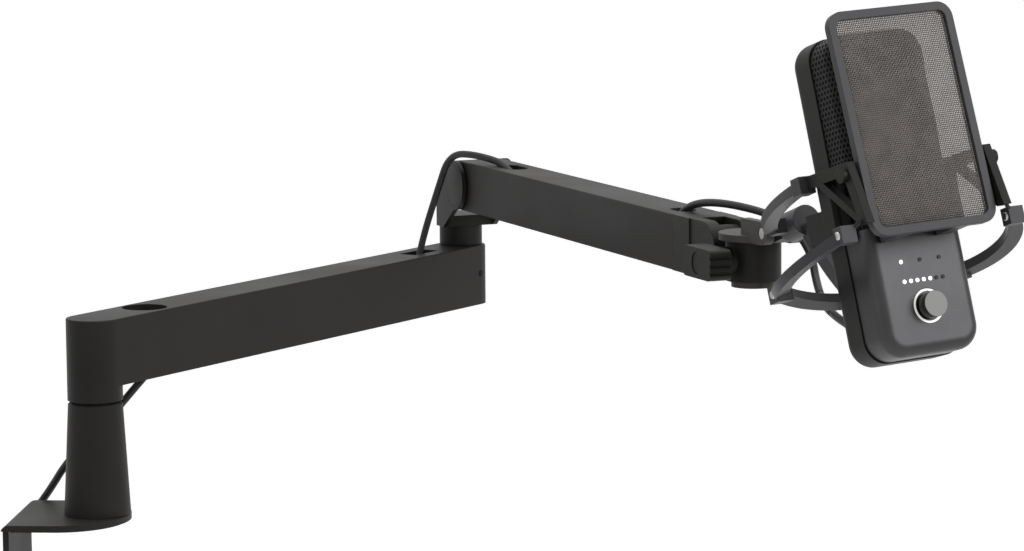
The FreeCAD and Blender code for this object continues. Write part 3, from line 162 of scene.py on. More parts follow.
def powder_coat(name, dark, pale, roughness, grit_mm):
    material, tree, shader = new_finish(name, Specular_IOR_Level=0.12)
    place = add(tree, "TexCoord").outputs["Object"]
    grit = add(tree, "TexNoise", {"Vector": place, "Scale": 1000 / grit_mm, "Detail": 2})
    ripple = add(tree, "TexNoise", {"Vector": place, "Scale": 1000 / RIPPLE_MM, "Detail": 1})
    cloud = add(tree, "TexNoise", {"Vector": place, "Scale": 1000 / CLOUD_MM, "Detail": 4})
    rounded = add(tree, "Bevel", {"Radius": WORN_EDGE_MM * MM}, samples=4)
    plain = add(tree, "NewGeometry")
    facing = add(tree, "VectorMath", {0: rounded.outputs["Normal"], 1: plain.outputs["Normal"]},
                 operation="DOT_PRODUCT")
    edge = add(tree, "MapRange", {"Value": facing.outputs["Value"], "From Min": 0.99, "From Max": 0.8,
                                  "To Max": 0.7})
    shade = add(tree, "MapRange", {"Value": cloud.outputs["Fac"], "From Min": 0.3, "From Max": 0.7,
                                   "To Max": 0.35})
    skin = add(tree, "MixRGB", {"Fac": shade.outputs["Result"], "Color1": colour(dark),
                                "Color2": colour(pale)})
    worn = add(tree, "MixRGB", {"Fac": edge.outputs["Result"], "Color1": skin.outputs["Color"],
                                "Color2": colour(pale)})
    gloss = add(tree, "MapRange", {"Value": cloud.outputs["Fac"], "From Min": 0.3, "From Max": 0.7,
                                   "To Min": roughness - 0.06, "To Max": roughness + 0.06})
    bump = add(tree, "Bump", {"Height": grit.outputs["Fac"], "Distance": 0.05 * MM, "Strength": 0.35,
                              "Normal": rounded.outputs["Normal"]})
    peel = add(tree, "Bump", {"Height": ripple.outputs["Fac"], "Distance": 0.06 * MM, "Strength": 0.35,
                              "Normal": bump.outputs["Normal"]})
    connect(tree, shader, Base_Color=worn.outputs["Color"], Roughness=gloss.outputs["Result"],
            Normal=peel.outputs["Normal"])
    return material


FINISHES["coated_steel"] = powder_coat("powder_coated_steel", "#242221", "#3a3735", 0.5, 0.5)
FINISHES["coated_alloy"] = powder_coat("powder_coated_aluminium", "#242221", "#3a3735", 0.5, 0.5)
FINISHES["cast_black"] = powder_coat("coated_zinc_casting", "#1c1b1a", "#312f2d", 0.46, 0.7)
FINISHES["grey_flange"] = powder_coat("grey_coated_flange", "#4a4846", "#6a6866", 0.5, 0.6)
print("powder coats:", [material.name for material in FINISHES.values()])

# %% [markdown]
# ## Moulded plastics
# The cap, wing, mount frame and housing are glass-filled nylon and ABS from a spark-eroded mould,
# which leaves an even fine pebble. A cell pattern and a finer noise give that grain, and a slow noise
# varies the tint and the gloss.

# %% Moulded plastic
def moulded(name, dark, pale, roughness, grain_mm, depth_mm=0.05):
    material, tree, shader = new_finish(name, Specular_IOR_Level=0.15)
    place = add(tree, "TexCoord").outputs["Object"]
    grain = add(tree, "TexVoronoi", {"Vector": place, "Scale": 1000 / grain_mm})
    fine = add(tree, "TexNoise", {"Vector": place, "Scale": 2500 / grain_mm, "Detail": 2})
    slow = add(tree, "TexNoise", {"Vector": place, "Scale": 1000 / 35, "Detail": 3})
    tint = add(tree, "MixRGB", {"Fac": slow.outputs["Fac"], "Color1": colour(dark),
                                "Color2": colour(pale)})
    gloss = add(tree, "MapRange", {"Value": slow.outputs["Fac"], "From Min": 0.3, "From Max": 0.7,
                                   "To Min": roughness - 0.05, "To Max": roughness + 0.05})
    rounded = add(tree, "Bevel", {"Radius": 0.6 * MM}, samples=4)
    pebble = add(tree, "Bump", {"Height": grain.outputs["Distance"], "Distance": depth_mm * MM,
                                "Strength": 0.4, "Normal": rounded.outputs["Normal"]})
    haze = add(tree, "Bump", {"Height": fine.outputs["Fac"], "Distance": depth_mm * MM / 2,
                              "Strength": 0.3, "Normal": pebble.outputs["Normal"]})
    connect(tree, shader, Base_Color=tint.outputs["Color"], Roughness=gloss.outputs["Result"],
            Normal=haze.outputs["Normal"])
    return material


FINISHES["matte_plastic"] = moulded("spark_eroded_nylon", "#191817", "#232220", 0.48, 0.5)
FINISHES["grey_plastic"] = moulded("charcoal_abs", "#3e3e40", "#4f4f51", 0.42, 0.5)
FINISHES["bearing_plastic"] = moulded("black_acetal", "#161616", "#1e1e1e", 0.35, 1.2, 0.02)
FINISHES["rubber_pad"] = moulded("moulded_neoprene", "#131313", "#1d1c1c", 0.8, 0.9, 0.08)
print(len(FINISHES), "finishes so far")

# %% [markdown]
# ## Turned and blackened steel
# Screws, pins and the spindle come off a lathe, and wire is drawn. Both leave fine marks, which
# stretch a highlight. A stretched noise gives that look on any axis without a map of each part.

# %% Turned steel
def turned_steel(name, dark, pale, roughness):
    material, tree, shader = new_finish(name, Metallic=1)
    place = add(tree, "TexCoord").outputs["Object"]
    squeezed = add(tree, "Mapping", {"Vector": place, "Scale": (0.08, 0.08, 1)})
    rings = add(tree, "TexNoise", {"Vector": squeezed.outputs["Vector"], "Scale": 1000 / 0.35,
                                   "Detail": 3})
    stain = add(tree, "TexNoise", {"Vector": place, "Scale": 1000 / 9, "Detail": 5})
    tint = add(tree, "MixRGB", {"Fac": stain.outputs["Fac"], "Color1": colour(dark),
                                "Color2": colour(pale)})
    gloss = add(tree, "MapRange", {"Value": rings.outputs["Fac"], "To Min": roughness - 0.1,
                                   "To Max": roughness + 0.15})
    rounded = add(tree, "Bevel", {"Radius": 0.35 * MM}, samples=4)
    bump = add(tree, "Bump", {"Height": rings.outputs["Fac"], "Distance": 0.02 * MM, "Strength": 0.4,
                              "Normal": rounded.outputs["Normal"]})
    connect(tree, shader, Base_Color=tint.outputs["Color"], Roughness=gloss.outputs["Result"],
            Normal=bump.outputs["Normal"])
    return material


FINISHES["bare_steel"] = turned_steel("turned_zinc_plated_steel", "#9a9894", "#c4c2bd", 0.3)
FINISHES["black_steel"] = turned_steel("black_oxide_steel", "#2a2826", "#423f3c", 0.38)
FINISHES["capsule_metal"] = turned_steel("brass_capsule", "#a98c52", "#c6a867", 0.3)
FINISHES["mesh_metal"] = turned_steel("blackened_steel_wire", "#6f6b68", "#938e8b", 0.42)
print("lathe and wire finishes done")

# %% [markdown]
# ## Satin cover
# The lower front of the microphone is a bead-blasted and anodised aluminium shell. Blasting scatters
# light evenly, so it shines softly and broadly. The grain is near 0.2 mm and is drawn at 0.5 mm,
# which is as fine as the picture can show.

# %% Satin cover
def blasted_aluminium(name, dark, pale, roughness):
    material, tree, shader = new_finish(name, Metallic=1)
    place = add(tree, "TexCoord").outputs["Object"]
    beads = add(tree, "TexNoise", {"Vector": place, "Scale": 1000 / 0.5, "Detail": 3})
    cloud = add(tree, "TexNoise", {"Vector": place, "Scale": 1000 / 25, "Detail": 3})
    tint = add(tree, "MixRGB", {"Fac": cloud.outputs["Fac"], "Color1": colour(dark),
                                "Color2": colour(pale)})
    gloss = add(tree, "MapRange", {"Value": beads.outputs["Fac"], "To Min": roughness - 0.08,
                                   "To Max": roughness + 0.08})
    rounded = add(tree, "Bevel", {"Radius": 0.6 * MM}, samples=4)
    bump = add(tree, "Bump", {"Height": beads.outputs["Fac"], "Distance": 0.03 * MM, "Strength": 0.3,
                              "Normal": rounded.outputs["Normal"]})
    connect(tree, shader, Base_Color=tint.outputs["Color"], Roughness=gloss.outputs["Result"],
            Normal=bump.outputs["Normal"])
    return material


FINISHES["satin_cover"] = blasted_aluminium("blasted_anodised_aluminium", "#3a3a3b", "#464647", 0.42)
print("satin cover done")

# %% [markdown]
# ## Dial
# The dial is a black moulded knob with a grey blasted aluminium cap glued to its face. One finish
# serves both: the direction of the surface, compared with the dial's axis, tells the cap from the side.

# %% Dial finish
def capped_dial(name, cap, pale_cap, side_skin, axis):
    material, tree, shader = new_finish(name, Roughness=0.42)
    place = add(tree, "TexCoord")
    facing = add(tree, "VectorMath", {0: place.outputs["Normal"], 1: tuple(axis)},
                 operation="DOT_PRODUCT")
    on_cap = add(tree, "MapRange", {"Value": facing.outputs["Value"], "From Min": 0.6, "From Max": 0.8})
    beads = add(tree, "TexNoise", {"Vector": place.outputs["Object"], "Scale": 1000 / 0.5, "Detail": 2})
    grey = add(tree, "MixRGB", {"Fac": beads.outputs["Fac"], "Color1": colour(cap),
                                "Color2": colour(pale_cap)})
    tint = add(tree, "MixRGB", {"Fac": on_cap.outputs["Result"], "Color1": colour(side_skin),
                                "Color2": grey.outputs["Color"]})
    rounded = add(tree, "Bevel", {"Radius": 0.5 * MM}, samples=4)
    bump = add(tree, "Bump", {"Height": beads.outputs["Fac"], "Distance": 0.03 * MM, "Strength": 0.3,
                              "Normal": rounded.outputs["Normal"]})
    connect(tree, shader, Base_Color=tint.outputs["Color"], Normal=bump.outputs["Normal"])
    return material


FINISHES["dial_metal"] = capped_dial("capped_nylon_dial", "#6f6e6d", "#868584", "#111111", front)
print("dial cap faces", [round(value, 2) for value in front])

# %% [markdown]
# ## Perforated grille
# The upper front is a steel sheet with round holes in a staggered grid, pressed over the capsule.
# The holes are 2.1 mm wide on a pitch of 2.9 mm. The grille is a CAD piece, whose mesh stays as it is, so shader
# maths draws the holes: the distance to the nearest hole centre dents the surface and gives the holes a near-black
# colour, which is painted shade of the dark space behind the sheet. X plus Y runs round the corner from the side
# to the front without a seam. The rows of a staggered grid stand 0.866 of that pitch apart, which is half the root
# of three.

# %% Perforated grille
HOLE_PITCH_MM, HOLE_MM, ROW_STEP = 2.9, 2.1, 0.866


def staggered_distance(tree, pitch_mm):
    """Socket that holds the distance to the nearest hole centre, in pitches."""
    inside = MIC.inverted()
    place = add(tree, "Mapping", {"Vector": add(tree, "TexCoord").outputs["Object"],
                                  "Rotation": inside.to_euler("XYZ"), "Location": inside.translation})
    axis = add(tree, "SeparateXYZ", {"Vector": place.outputs["Vector"]})
    round_corner = add(tree, "Math", {0: axis.outputs["X"], 1: axis.outputs["Y"]}, operation="ADD")
    across = add(tree, "Math", {0: round_corner.outputs[0], 1: 1000 / pitch_mm}, operation="MULTIPLY")
    rows = add(tree, "Math", {0: axis.outputs["Z"], 1: 1000 / pitch_mm / ROW_STEP}, operation="MULTIPLY")
    row = add(tree, "Math", {0: rows.outputs[0]}, operation="FLOOR")
    half = add(tree, "Math", {0: row.outputs[0], 1: 0.5}, operation="MULTIPLY")
    shifted = add(tree, "Math", {0: across.outputs[0], 1: half.outputs[0]}, operation="ADD")
    along = add(tree, "Math", {0: shifted.outputs[0]}, operation="FRACT")
    upward = add(tree, "Math", {0: rows.outputs[0]}, operation="FRACT")
    aside = add(tree, "Math", {0: along.outputs[0], 1: 0.5}, operation="SUBTRACT")
    above = add(tree, "Math", {0: upward.outputs[0], 1: 0.5}, operation="SUBTRACT")
    scaled = add(tree, "Math", {0: above.outputs[0], 1: ROW_STEP}, operation="MULTIPLY")
    offset = add(tree, "CombineXYZ", {"X": aside.outputs[0], "Y": scaled.outputs[0]})
    return add(tree, "VectorMath", {0: offset.outputs[0]}, operation="LENGTH").outputs["Value"]


def perforated(name, sheet, hole, pitch_mm, hole_mm):
    material, tree, shader = new_finish(name, Specular_IOR_Level=0.15)
    distance = staggered_distance(tree, pitch_mm)
    edge = hole_mm / pitch_mm / 2
    solid = add(tree, "MapRange", {"Value": distance, "From Min": edge - 0.05, "From Max": edge + 0.03})
    # Painted shade: the hole colour stands for the shade behind each hole.
    tint = add(tree, "MixRGB", {"Fac": solid.outputs["Result"], "Color1": colour(hole),
                                "Color2": colour(sheet)})
    gloss = add(tree, "MapRange", {"Value": solid.outputs["Result"], "To Min": 0.95, "To Max": 0.42})
    rounded = add(tree, "Bevel", {"Radius": 0.6 * MM}, samples=4)
    bump = add(tree, "Bump", {"Height": solid.outputs["Result"], "Distance": 0.5 * MM, "Strength": 0.8,
                              "Normal": rounded.outputs["Normal"]})
    connect(tree, shader, Base_Color=tint.outputs["Color"], Roughness=gloss.outputs["Result"],
            Normal=bump.outputs["Normal"])
    return material


# The near-black second colour is painted shade in the holes.
FINISHES["grille_metal"] = perforated("perforated_coated_steel", "#242221", "#040404", HOLE_PITCH_MM,
                                      HOLE_MM)
print("grille holes drawn at a pitch of", HOLE_PITCH_MM, "mm")

# %% [markdown]
# ## Lamps, ring and board
# The lamps are small resin lenses over LEDs. The lit ones glow white. The unlit ones are dark dots that reflect
# little. The ring round the dial is white plastic with a faint glow, which is painted light. The board inside is
# green glass-epoxy with copper tracks.

# %% Lamps, ring and board
def lens(name, body, glow, gloss=0.5):
    material, tree, shader = new_finish(name, Base_Color=colour(body), Roughness=0.18, IOR=1.55,
                                        Emission_Strength=glow, Specular_IOR_Level=gloss)
    place = add(tree, "TexCoord").outputs["Object"]
    flow = add(tree, "TexNoise", {"Vector": place, "Scale": 1000 / 1.2})
    light = add(tree, "MixRGB", {"Fac": flow.outputs["Fac"], "Color1": colour("#f4f2ea"),
                                 "Color2": colour("#ffffff")})
    connect(tree, shader, Emission_Color=light.outputs["Color"])
    return material


def circuit_board(name):
    material, tree, shader = new_finish(name, Roughness=0.35)
    place = add(tree, "TexCoord").outputs["Object"]
    tracks = add(tree, "TexBrick", {"Vector": place, "Scale": 1000 / 12, "Color1": colour("#1f5a38"),
                                    "Color2": colour("#24643f"), "Mortar": colour("#b98a4a"),
                                    "Mortar Size": 0.03})
    connect(tree, shader, Base_Color=tracks.outputs["Color"])
    return material


FINISHES["lamp_white"] = lens("lit_led_lens", "#f2f0ea", 1.0)
FINISHES["lamp_dark"] = lens("unlit_led_lens", "#0e0e0e", 0.0, 0.1)
# Painted light: the ring is white plastic and no lamp, so its faint glow is painted light.
FINISHES["white_ring"] = lens("white_ring_with_painted_glow", "#e8e6e0", 0.35)
FINISHES["board_green"] = circuit_board("glass_epoxy_board")
print("lamps and board done")

# %% [markdown]
# ## Lead, elastic and tie
# The lead has a soft matt PVC jacket with a faint ripple. The elastic bands are rubber under a braid
# of 0.7 mm threads. The tie is a hook-and-loop strap, a nylon weave of about 0.8 mm. The braid and
# the weave are two crossed waves, which is what crossed threads look like from this far.

# %% Soft finishes
def soft_jacket(name, dark, pale, roughness, thread_mm, relief_mm, turn):
    material, tree, shader = new_finish(name, Roughness=roughness, Specular_IOR_Level=0.3,
                                        Sheen_Weight=0.1)
    place = add(tree, "TexCoord").outputs["Object"]
    first = add(tree, "Mapping", {"Vector": place, "Rotation": (0, turn, turn)})
    second = add(tree, "Mapping", {"Vector": place, "Rotation": (turn, -turn, 0)})
    scale = 1000 / thread_mm / 20
    threads = [add(tree, "TexWave", {"Vector": way.outputs["Vector"], "Scale": scale * math.pi,
                                     "Distortion": 0.3}) for way in (first, second)]
    weave = add(tree, "Math", {0: threads[0].outputs["Fac"], 1: threads[1].outputs["Fac"]},
                operation="MAXIMUM")
    dust = add(tree, "TexNoise", {"Vector": place, "Scale": 1000 / 18, "Detail": 4})
    deep = add(tree, "Math", {0: weave.outputs[0], 1: dust.outputs["Fac"]}, operation="MULTIPLY")
    tint = add(tree, "MixRGB", {"Fac": deep.outputs[0], "Color1": colour(dark), "Color2": colour(pale)})
    bump = add(tree, "Bump", {"Height": weave.outputs[0], "Distance": relief_mm * MM, "Strength": 0.5})
    connect(tree, shader, Base_Color=tint.outputs["Color"], Normal=bump.outputs["Normal"])
    return material


FINISHES["cable_jacket"] = soft_jacket("matt_pvc_jacket", "#171615", "#262423", 0.5, 2.5, 0.02, 0.3)
FINISHES["elastic"] = soft_jacket("braided_elastic", "#161515", "#3a3836", 0.75, 0.7, 0.15, 0.7)
FINISHES["tie_fabric"] = soft_jacket("hook_and_loop_nylon", "#171717", "#333130", 0.85, 0.8, 0.2, 0.5)
print(len(FINISHES), "finishes")

# %% [markdown]
# ## Finishes on the CAD pieces
# Each CAD node names a material slot in the record. Its object takes the finish of that slot, and
# its mesh stays as it is.

# %% Dress the CAD pieces
for subpart in frame["record"]["subparts"]:
    mesh = nodes[subpart["node"]].data
    mesh.materials.clear()
    mesh.materials.append(FINISHES[subpart["material_slot"]])

# %% [markdown]
# ## The lead
# One lead runs from the microphone along both arms, over the elbow, down behind the post and into a tied coil. It
# bends where a joint moves, so it is cut into free stretches there, and each is a tube fixed in place. A spline
# gives the smooth line through given points, and the tube follows it.

# %% Smooth lines
LEAD = 4.2 * MM


def spline_curve(name, points):
    """Curve object of one smooth open spline with these control points."""
    data = bpy.data.curves.new(name, "CURVE")
    data.dimensions = "3D"
    data.resolution_u = 12
    spline = data.splines.new("NURBS")
    spline.points.add(len(points) - 1)
    for point, spot in zip(spline.points, points):
        point.co = (*spot, 1)
    spline.order_u = 3
    spline.use_endpoint_u = True
    curve = bpy.data.objects.new(name, data)
    bpy.context.scene.collection.objects.link(curve)
    return curve


def smooth_line(points):
    """Points along the spline, read from the curve as Blender evaluates it."""
    curve = spline_curve("line", points)
    bpy.context.view_layer.update()
    evaluated = curve.evaluated_get(bpy.context.evaluated_depsgraph_get())
    mesh = bpy.data.meshes.new_from_object(evaluated)
    line = [vertex.co.copy() for vertex in mesh.vertices]
    bpy.data.meshes.remove(mesh)
    bpy.data.objects.remove(curve)
    return line


def line_length(line):
    return sum((after - before).length for before, after in zip(line, line[1:]))


print(f"lead of {LEAD * 1000:.1f} mm")

# %% [markdown]
# ## Tubes
# A curve with a bevel makes a round lead too, but it keeps one thickness. The bands get thinner and
# the pins have chamfers, so one helper places a ring of corners at each point of a line, with a radius
# of its own, and joins the rings.

# %% Tube helper
def mesh_piece(name, mesh, finish):
    """Object made of an edited mesh, with its finish."""
    data = bpy.data.meshes.new(name)
    mesh.to_mesh(data)
    mesh.free()
    data.materials.append(FINISHES[finish])
    piece = bpy.data.objects.new(name, data)
    bpy.context.scene.collection.objects.link(piece)
    return piece


def tube(name, line, radii, finish, sides=16):
    """Closed round tube along a line, with each ring square to it and a radius for each point."""
    mesh = bmesh.new()
    across = Vector(UP).cross(line[1] - line[0])
    if across.length < 1e-6:
        across = Vector((1, 0, 0))
    rings = []
    for index, (spot, radius) in enumerate(zip(line, radii)):
        way = (line[min(index + 1, len(line) - 1)] - line[max(index - 1, 0)]).normalized()
        across = (across - way * across.dot(way)).normalized()
        other = way.cross(across)
        turns = [2 * math.pi * number / sides for number in range(sides)]
        rings.append([mesh.verts.new(spot + radius * (math.cos(turn) * across + math.sin(turn) * other))
                      for turn in turns])
    for low, high in zip(rings, rings[1:]):
        for number in range(sides):
            after = (number + 1) % sides
            mesh.faces.new((low[number], low[after], high[after], high[number])).smooth = True
    mesh.faces.new(reversed(rings[0]))
    mesh.faces.new(rings[-1])
    return mesh_piece(name, mesh, finish)


print("tubes can now be made")

# %% [markdown]
# ## Lead at the base
# The lead leaves the open channel under the lower arm, swings behind the post and drops behind the clamp. It is
# one tube, fixed in place.

# %% Base stretch
LOWER_RUN, COIL_START = 86.8, (-54.2, 43, -51.5)
ARM_SIDE, CLAMP_SIDE = (0, 0, 0.068), (0, 0, 0.012)


def lead_stretch(name, line, body_a, body_b, start, end, lay):
    """Free stretch of the lead, as a round tube fixed in place."""
    piece = tube(name, line, [LEAD / 2] * len(line), "cable_jacket")
    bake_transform(piece)
    print(name, f"{line_length(line) * 1000:.0f} mm")
    return piece


base_line = smooth_line(
    [on(LOWER, 85, 0, LOWER_RUN), on(LOWER, 68, 0, LOWER_RUN), on(LOWER, 33, 3, 64)]
    + [Vector(spot) * MM for spot in ((-4, 34, 44.5), (-22, 32, 27.5), (-36, 42.5, 6.5),
                                      (-49.5, 46.5, -10), (-54.2, 44, -31), COIL_START)])
base_lead = lead_stretch("lead_at_base", base_line, "lower_arm", "clamp", ARM_SIDE, CLAMP_SIDE,
                         "hanging")
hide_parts("cable_base")

# %% [markdown]
# ## Coil behind the clamp
# A lead of two metres is longer than its way along the arm. What is left over is wound into a small
# coil behind the clamp. A coil is a helix, so its control points are worked out turn by turn. Points
# on a ring pull a spline a little inwards, and the ring is made larger by that share.

# %% Coil and tail
COIL_TURNS, COIL_STEPS, COIL_PITCH, COIL_RADIUS = 6, 12, 4.9, 23
COIL_Y, COIL_Z = 20, -52
ring_radius = COIL_RADIUS * MM / (0.75 + 0.25 * math.cos(2 * math.pi / COIL_STEPS))
coil_points = [Vector(COIL_START) * MM]
for step in range(1, COIL_TURNS * COIL_STEPS):
    turn = 2 * math.pi * step / COIL_STEPS
    coil_points.append(Vector((COIL_START[0] * MM - COIL_PITCH * MM * step / COIL_STEPS,
                               COIL_Y * MM + ring_radius * math.cos(turn),
                               COIL_Z * MM - ring_radius * math.sin(turn))))
coil_end = Vector((COIL_START[0] - COIL_TURNS * COIL_PITCH, COIL_Y + COIL_RADIUS, COIL_Z)) * MM
coil_points += [coil_end + Vector(offset) * MM
                for offset in ((0, 0, 0), (-1, 0, -9), (-6, 0, -17), (-8, 0, -26))]
coil_lead = spline_curve("lead_coil", coil_points)
coil_lead.data.bevel_depth = LEAD / 2
coil_lead.data.bevel_resolution = 4
coil_lead.data.use_fill_caps = True
coil_lead.data.materials.append(FINISHES["cable_jacket"])
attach(coil_lead, "clamp")
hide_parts("cable_coil", "cable_tail")
coil_length = line_length(smooth_line(coil_points))
print(f"coil and tail {coil_length * 1000:.0f} mm")

# %% [markdown]
# ## Lead inside the arms
# Both arms hide a straight run of the lead in their channels. Each run is a plain straight tube that
# rides with its arm.

# %% Runs in the channels
UPPER_RUN = 148.9
for name, body, node, place, first, last, height in (
        ("lead_in_lower_arm", "lower_arm", "cable_lower_run", LOWER, 85, 289, LOWER_RUN),
        ("lead_in_upper_arm", "upper_arm", "cable_upper_run", UPPER, 117, 301, UPPER_RUN)):
    ends = [on(place, first, 0, height), on(place, last, 0, height)]
    run = tube(name, ends, [LEAD / 2] * 2, "cable_jacket")
    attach(run, body)
    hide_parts(node)
    print(name, f"{last - first} mm")

# %% [markdown]
# ## Lead over the elbow
# The lead leaves a slot in the lower arm, arches past the elbow and drops into the upper arm. Two joints move
# there, so the arch is two stretches, the riser and the top of the arch, each a tube fixed in place.

# %% Elbow loop
BEND_START_Z, RISER_TOP_Z = 0.112, 0.162


def cut_at(line, *spots):
    """The line in stretches that meet at the points nearest to these spots."""
    marks = [0]
    for spot in spots:
        marks.append(min(range(len(line)), key=lambda index: (line[index] - spot).length))
    marks.append(len(line) - 1)
    return [line[low:high + 1] for low, high in zip(marks, marks[1:])]


elbow_line = smooth_line([
    on(LOWER, 290, 0, LOWER_RUN), on(LOWER, 311, 0, 90.8), on(LOWER, 322, 0, 119.3),
    on(LOWER, 328.5, -7, 148.3), on(UPPER, 39, -22, 171.9), on(UPPER, 62, -13, 172.9),
    on(UPPER, 84, 0, 167.4), on(UPPER, 115.4, 0, UPPER_RUN)])
riser_top = min(elbow_line[:len(elbow_line) // 2], key=lambda spot: abs(spot.z - RISER_TOP_Z))
riser, arch = cut_at(elbow_line, riser_top)
elbow_lead = lead_stretch("lead_riser_at_elbow", riser, "lower_arm", "elbow",
                          (*riser_top.xy, BEND_START_Z), riser_top, "loose")
lead_stretch("lead_arch_at_elbow", arch, "elbow", "upper_arm", arch[0], on(UPPER, 58, -15, 172), "loose")
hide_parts("cable_elbow_loop")

# %% [markdown]
# ## Lead at the head
# From the end cap the lead passes the head in one slack curve to the back of the microphone. Five joints lie on
# that way, so the curve is cut into five stretches that follow each other, each a tube fixed in place.

# %% Head loop
HEAD_BODIES = ("upper_arm", "head_knuckle", "head_swivel_stem", "mount_block", "mount_frame",
               "microphone")
FROM_MICROPHONE = (0.128, 0.096, 0.064, 0.032)
head_line = smooth_line([
    on(UPPER, 302, 0, UPPER_RUN), on(UPPER, 318, 0, 153.9), on(UPPER, 334, 0, 169.9),
    on(UPPER, 368, 5, 174.9), on(UPPER, 410, 21, 169.9), on(UPPER, 434, 25, 156.3),
    on(UPPER, 452, 20, 137.3), on(MIC, -58, -5, -52), on(MIC, -31.5, -4, -66)])
left_over = [line_length(head_line[index:]) for index in range(len(head_line))]
cuts = [head_line[min(range(len(head_line)), key=lambda index: abs(left_over[index] - length))]
        for length in FROM_MICROPHONE]
for number, line in enumerate(cut_at(head_line, *cuts)):
    start = on(UPPER, 345, 3, 172) if number == 0 else line[0]
    end = line[len(line) // 2] if number == 1 else line[-1]
    piece = lead_stretch(f"lead_at_head_{number + 1}", line, *HEAD_BODIES[number:number + 2], start, end,
                         "loose")
    if number == 0:
        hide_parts("cable_head_loop")

# %% [markdown]
# ## Elastic bands
# Six braided bands hang the cradle in the mount frame. Each one stretches a few millimetres when the microphone
# moves, and here it is a straight tube from the frame to the microphone, fixed in place. A slight thinning in the
# middle shows that it is under tension.

# %% Bands
BAND_ENDS = (((136.4, 48, -27.4), (45, 40, -17)), ((97, 41, 5.1), (7, 40, 8)),
             ((74.8, 52, -42.4), (-15.6, 31.5, -21)))
BAND_STEPS, BAND_HALF, BAND_THINNING = 12, 1.3, 0.25
bands = []
for clip, cradle in BAND_ENDS:
    for hand in (1, -1):
        ends = [on(MOUNT, clip[0], hand * clip[1], clip[2]),
                on(MIC, cradle[0], hand * cradle[1], cradle[2])]
        shares = [step / BAND_STEPS for step in range(BAND_STEPS + 1)]
        line = [ends[0].lerp(ends[1], share) for share in shares]
        radii = [(BAND_HALF - BAND_THINNING * math.sin(math.pi * share)) * MM for share in shares]
        band = tube(f"elastic_band_{len(bands) + 1}", line, radii, "elastic", 12)
        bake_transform(band)
        bands.append(band)
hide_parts("elastic_bands")
print(len(bands), "bands")

# %% [markdown]
# ## Pins in the clips
# The clips of the hoop hold their bands on bright steel pins. The pins are short turned rods with
# chamfered ends, so the tube helper makes them with a smaller radius at both ends.

# %% Clip pins
PIN_STEPS, PIN_RADII = (-5.2, -4.7, 4.7, 5.2), (1.7, 2.1, 2.1, 1.7)
for name, (x, y, z) in (("tip", BAND_ENDS[0][0]), ("corner", BAND_ENDS[2][0])):
    for hand, hand_name in ((1, "right"), (-1, "left")):
        line = [on(MOUNT, x, hand * y + step, z) for step in PIN_STEPS]
        radii = [radius * MM for radius in PIN_RADII]
        pin = tube(f"{name}_pin_{hand_name}", line, radii, "bare_steel", 20)
        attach(pin, "mount_frame")
print("four clip pins")

# %% [markdown]
# ## Painted shade in a screw hole at the elbow
# A small black button with the rubber finish sits on a screw hole in the side of the lower arm. It is painted
# shade: it stands for the dark inside of the hole, where the set screw sits. It is a low button, so the tube
# helper makes it from a few rings that get smaller outwards.

# %% Painted shade of the screw hole
HOLE_SHADE_STEPS, HOLE_SHADE_RADII = (14.2, 15.1, 15.3, 15.35), (2.1, 2.1, 1.8, 0.8)
hole_shade_line = [on(LOWER, 364, -aside, 94) for aside in HOLE_SHADE_STEPS]
# Painted shade: this dark button stands for the shade inside the set screw's hole.
screw_hole_shade = tube("screw_hole_shade", hole_shade_line, [radius * MM for radius in HOLE_SHADE_RADII], "rubber_pad", 24)
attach(screw_hole_shade, "lower_arm")
print("screw plug at", [round(value, 3) for value in hole_shade_line[-1]])

# %% [markdown]
# ## Tie round the coil
# A hook-and-loop strap, ten millimetres wide, holds the turns together. It is a flat band bent into
# a long loop with round corners, and its free end lies over the start. Two outlines, one strap
# thickness apart, are joined and given their width, because a tube can't be flat.

# %% Coil tie
def strap_outline(half_length, half_height, corner, steps=6):
    """Long loop with round corners, as pairs of coordinates round its middle."""
    outline = []
    for number, (x, z) in enumerate(((1, 1), (-1, 1), (-1, -1), (1, -1))):
        for step in range(steps + 1):
            turn = math.pi / 2 * (number + step / steps)
            outline.append((x * (half_length - corner) + corner * math.cos(turn),
                            z * (half_height - corner) + corner * math.sin(turn)))
    return outline


TIE_OUTER, TIE_INNER, TIE_HALF_WIDTH, FREE_END = (17.6, 4.2, 4), (16.5, 3.1, 2.9), 5, (18, 9.6, 1)
tie_middle = Vector((-70.1, COIL_Y, -29)) * MM
outer, inner = strap_outline(*TIE_OUTER), strap_outline(*TIE_INNER)
tie = bmesh.new()
rims = [[tie.verts.new(tie_middle + Vector((x, y, z)) * MM) for x, z in loop]
        for loop, y in ((outer, -TIE_HALF_WIDTH), (outer, TIE_HALF_WIDTH),
                        (inner, TIE_HALF_WIDTH), (inner, -TIE_HALF_WIDTH))]
for near, far in zip(rims, rims[1:] + rims[:1]):
    for index in range(len(outer)):
        tie.faces.new((near[index - 1], near[index], far[index], far[index - 1]))
bmesh.ops.create_cube(tie, size=1, matrix=Matrix.Translation(tie_middle + Vector((5, 0, 4.6)) * MM)
                      @ Matrix.Diagonal((*(size * MM for size in FREE_END), 1)))
bmesh.ops.recalc_face_normals(tie, faces=tie.faces)
coil_tie = mesh_piece("coil_tie", tie, "tie_fabric")
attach(coil_tie, "clamp")
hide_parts("cable_tie")
print("tie of", len(coil_tie.data.polygons), "faces")

# %% [markdown]
# ## Wire cloth of the pop screen
# The pop screen is woven from blackened wire. Each wire passes over one crossing wire and under the
# next, so it has one ring of corners at each crossing, by turns in front and behind. A picture of a
# weave would be lighter, but only real wires let the microphone show between them from every side.
# Real wires stand about 0.5 mm apart. These stand 1 mm apart, so that the weave can be seen.

# %% Wire cloth
WIRE_PITCH, WIRE_HALF, CLOTH_DEPTH = 1.0, 0.33, 1.7


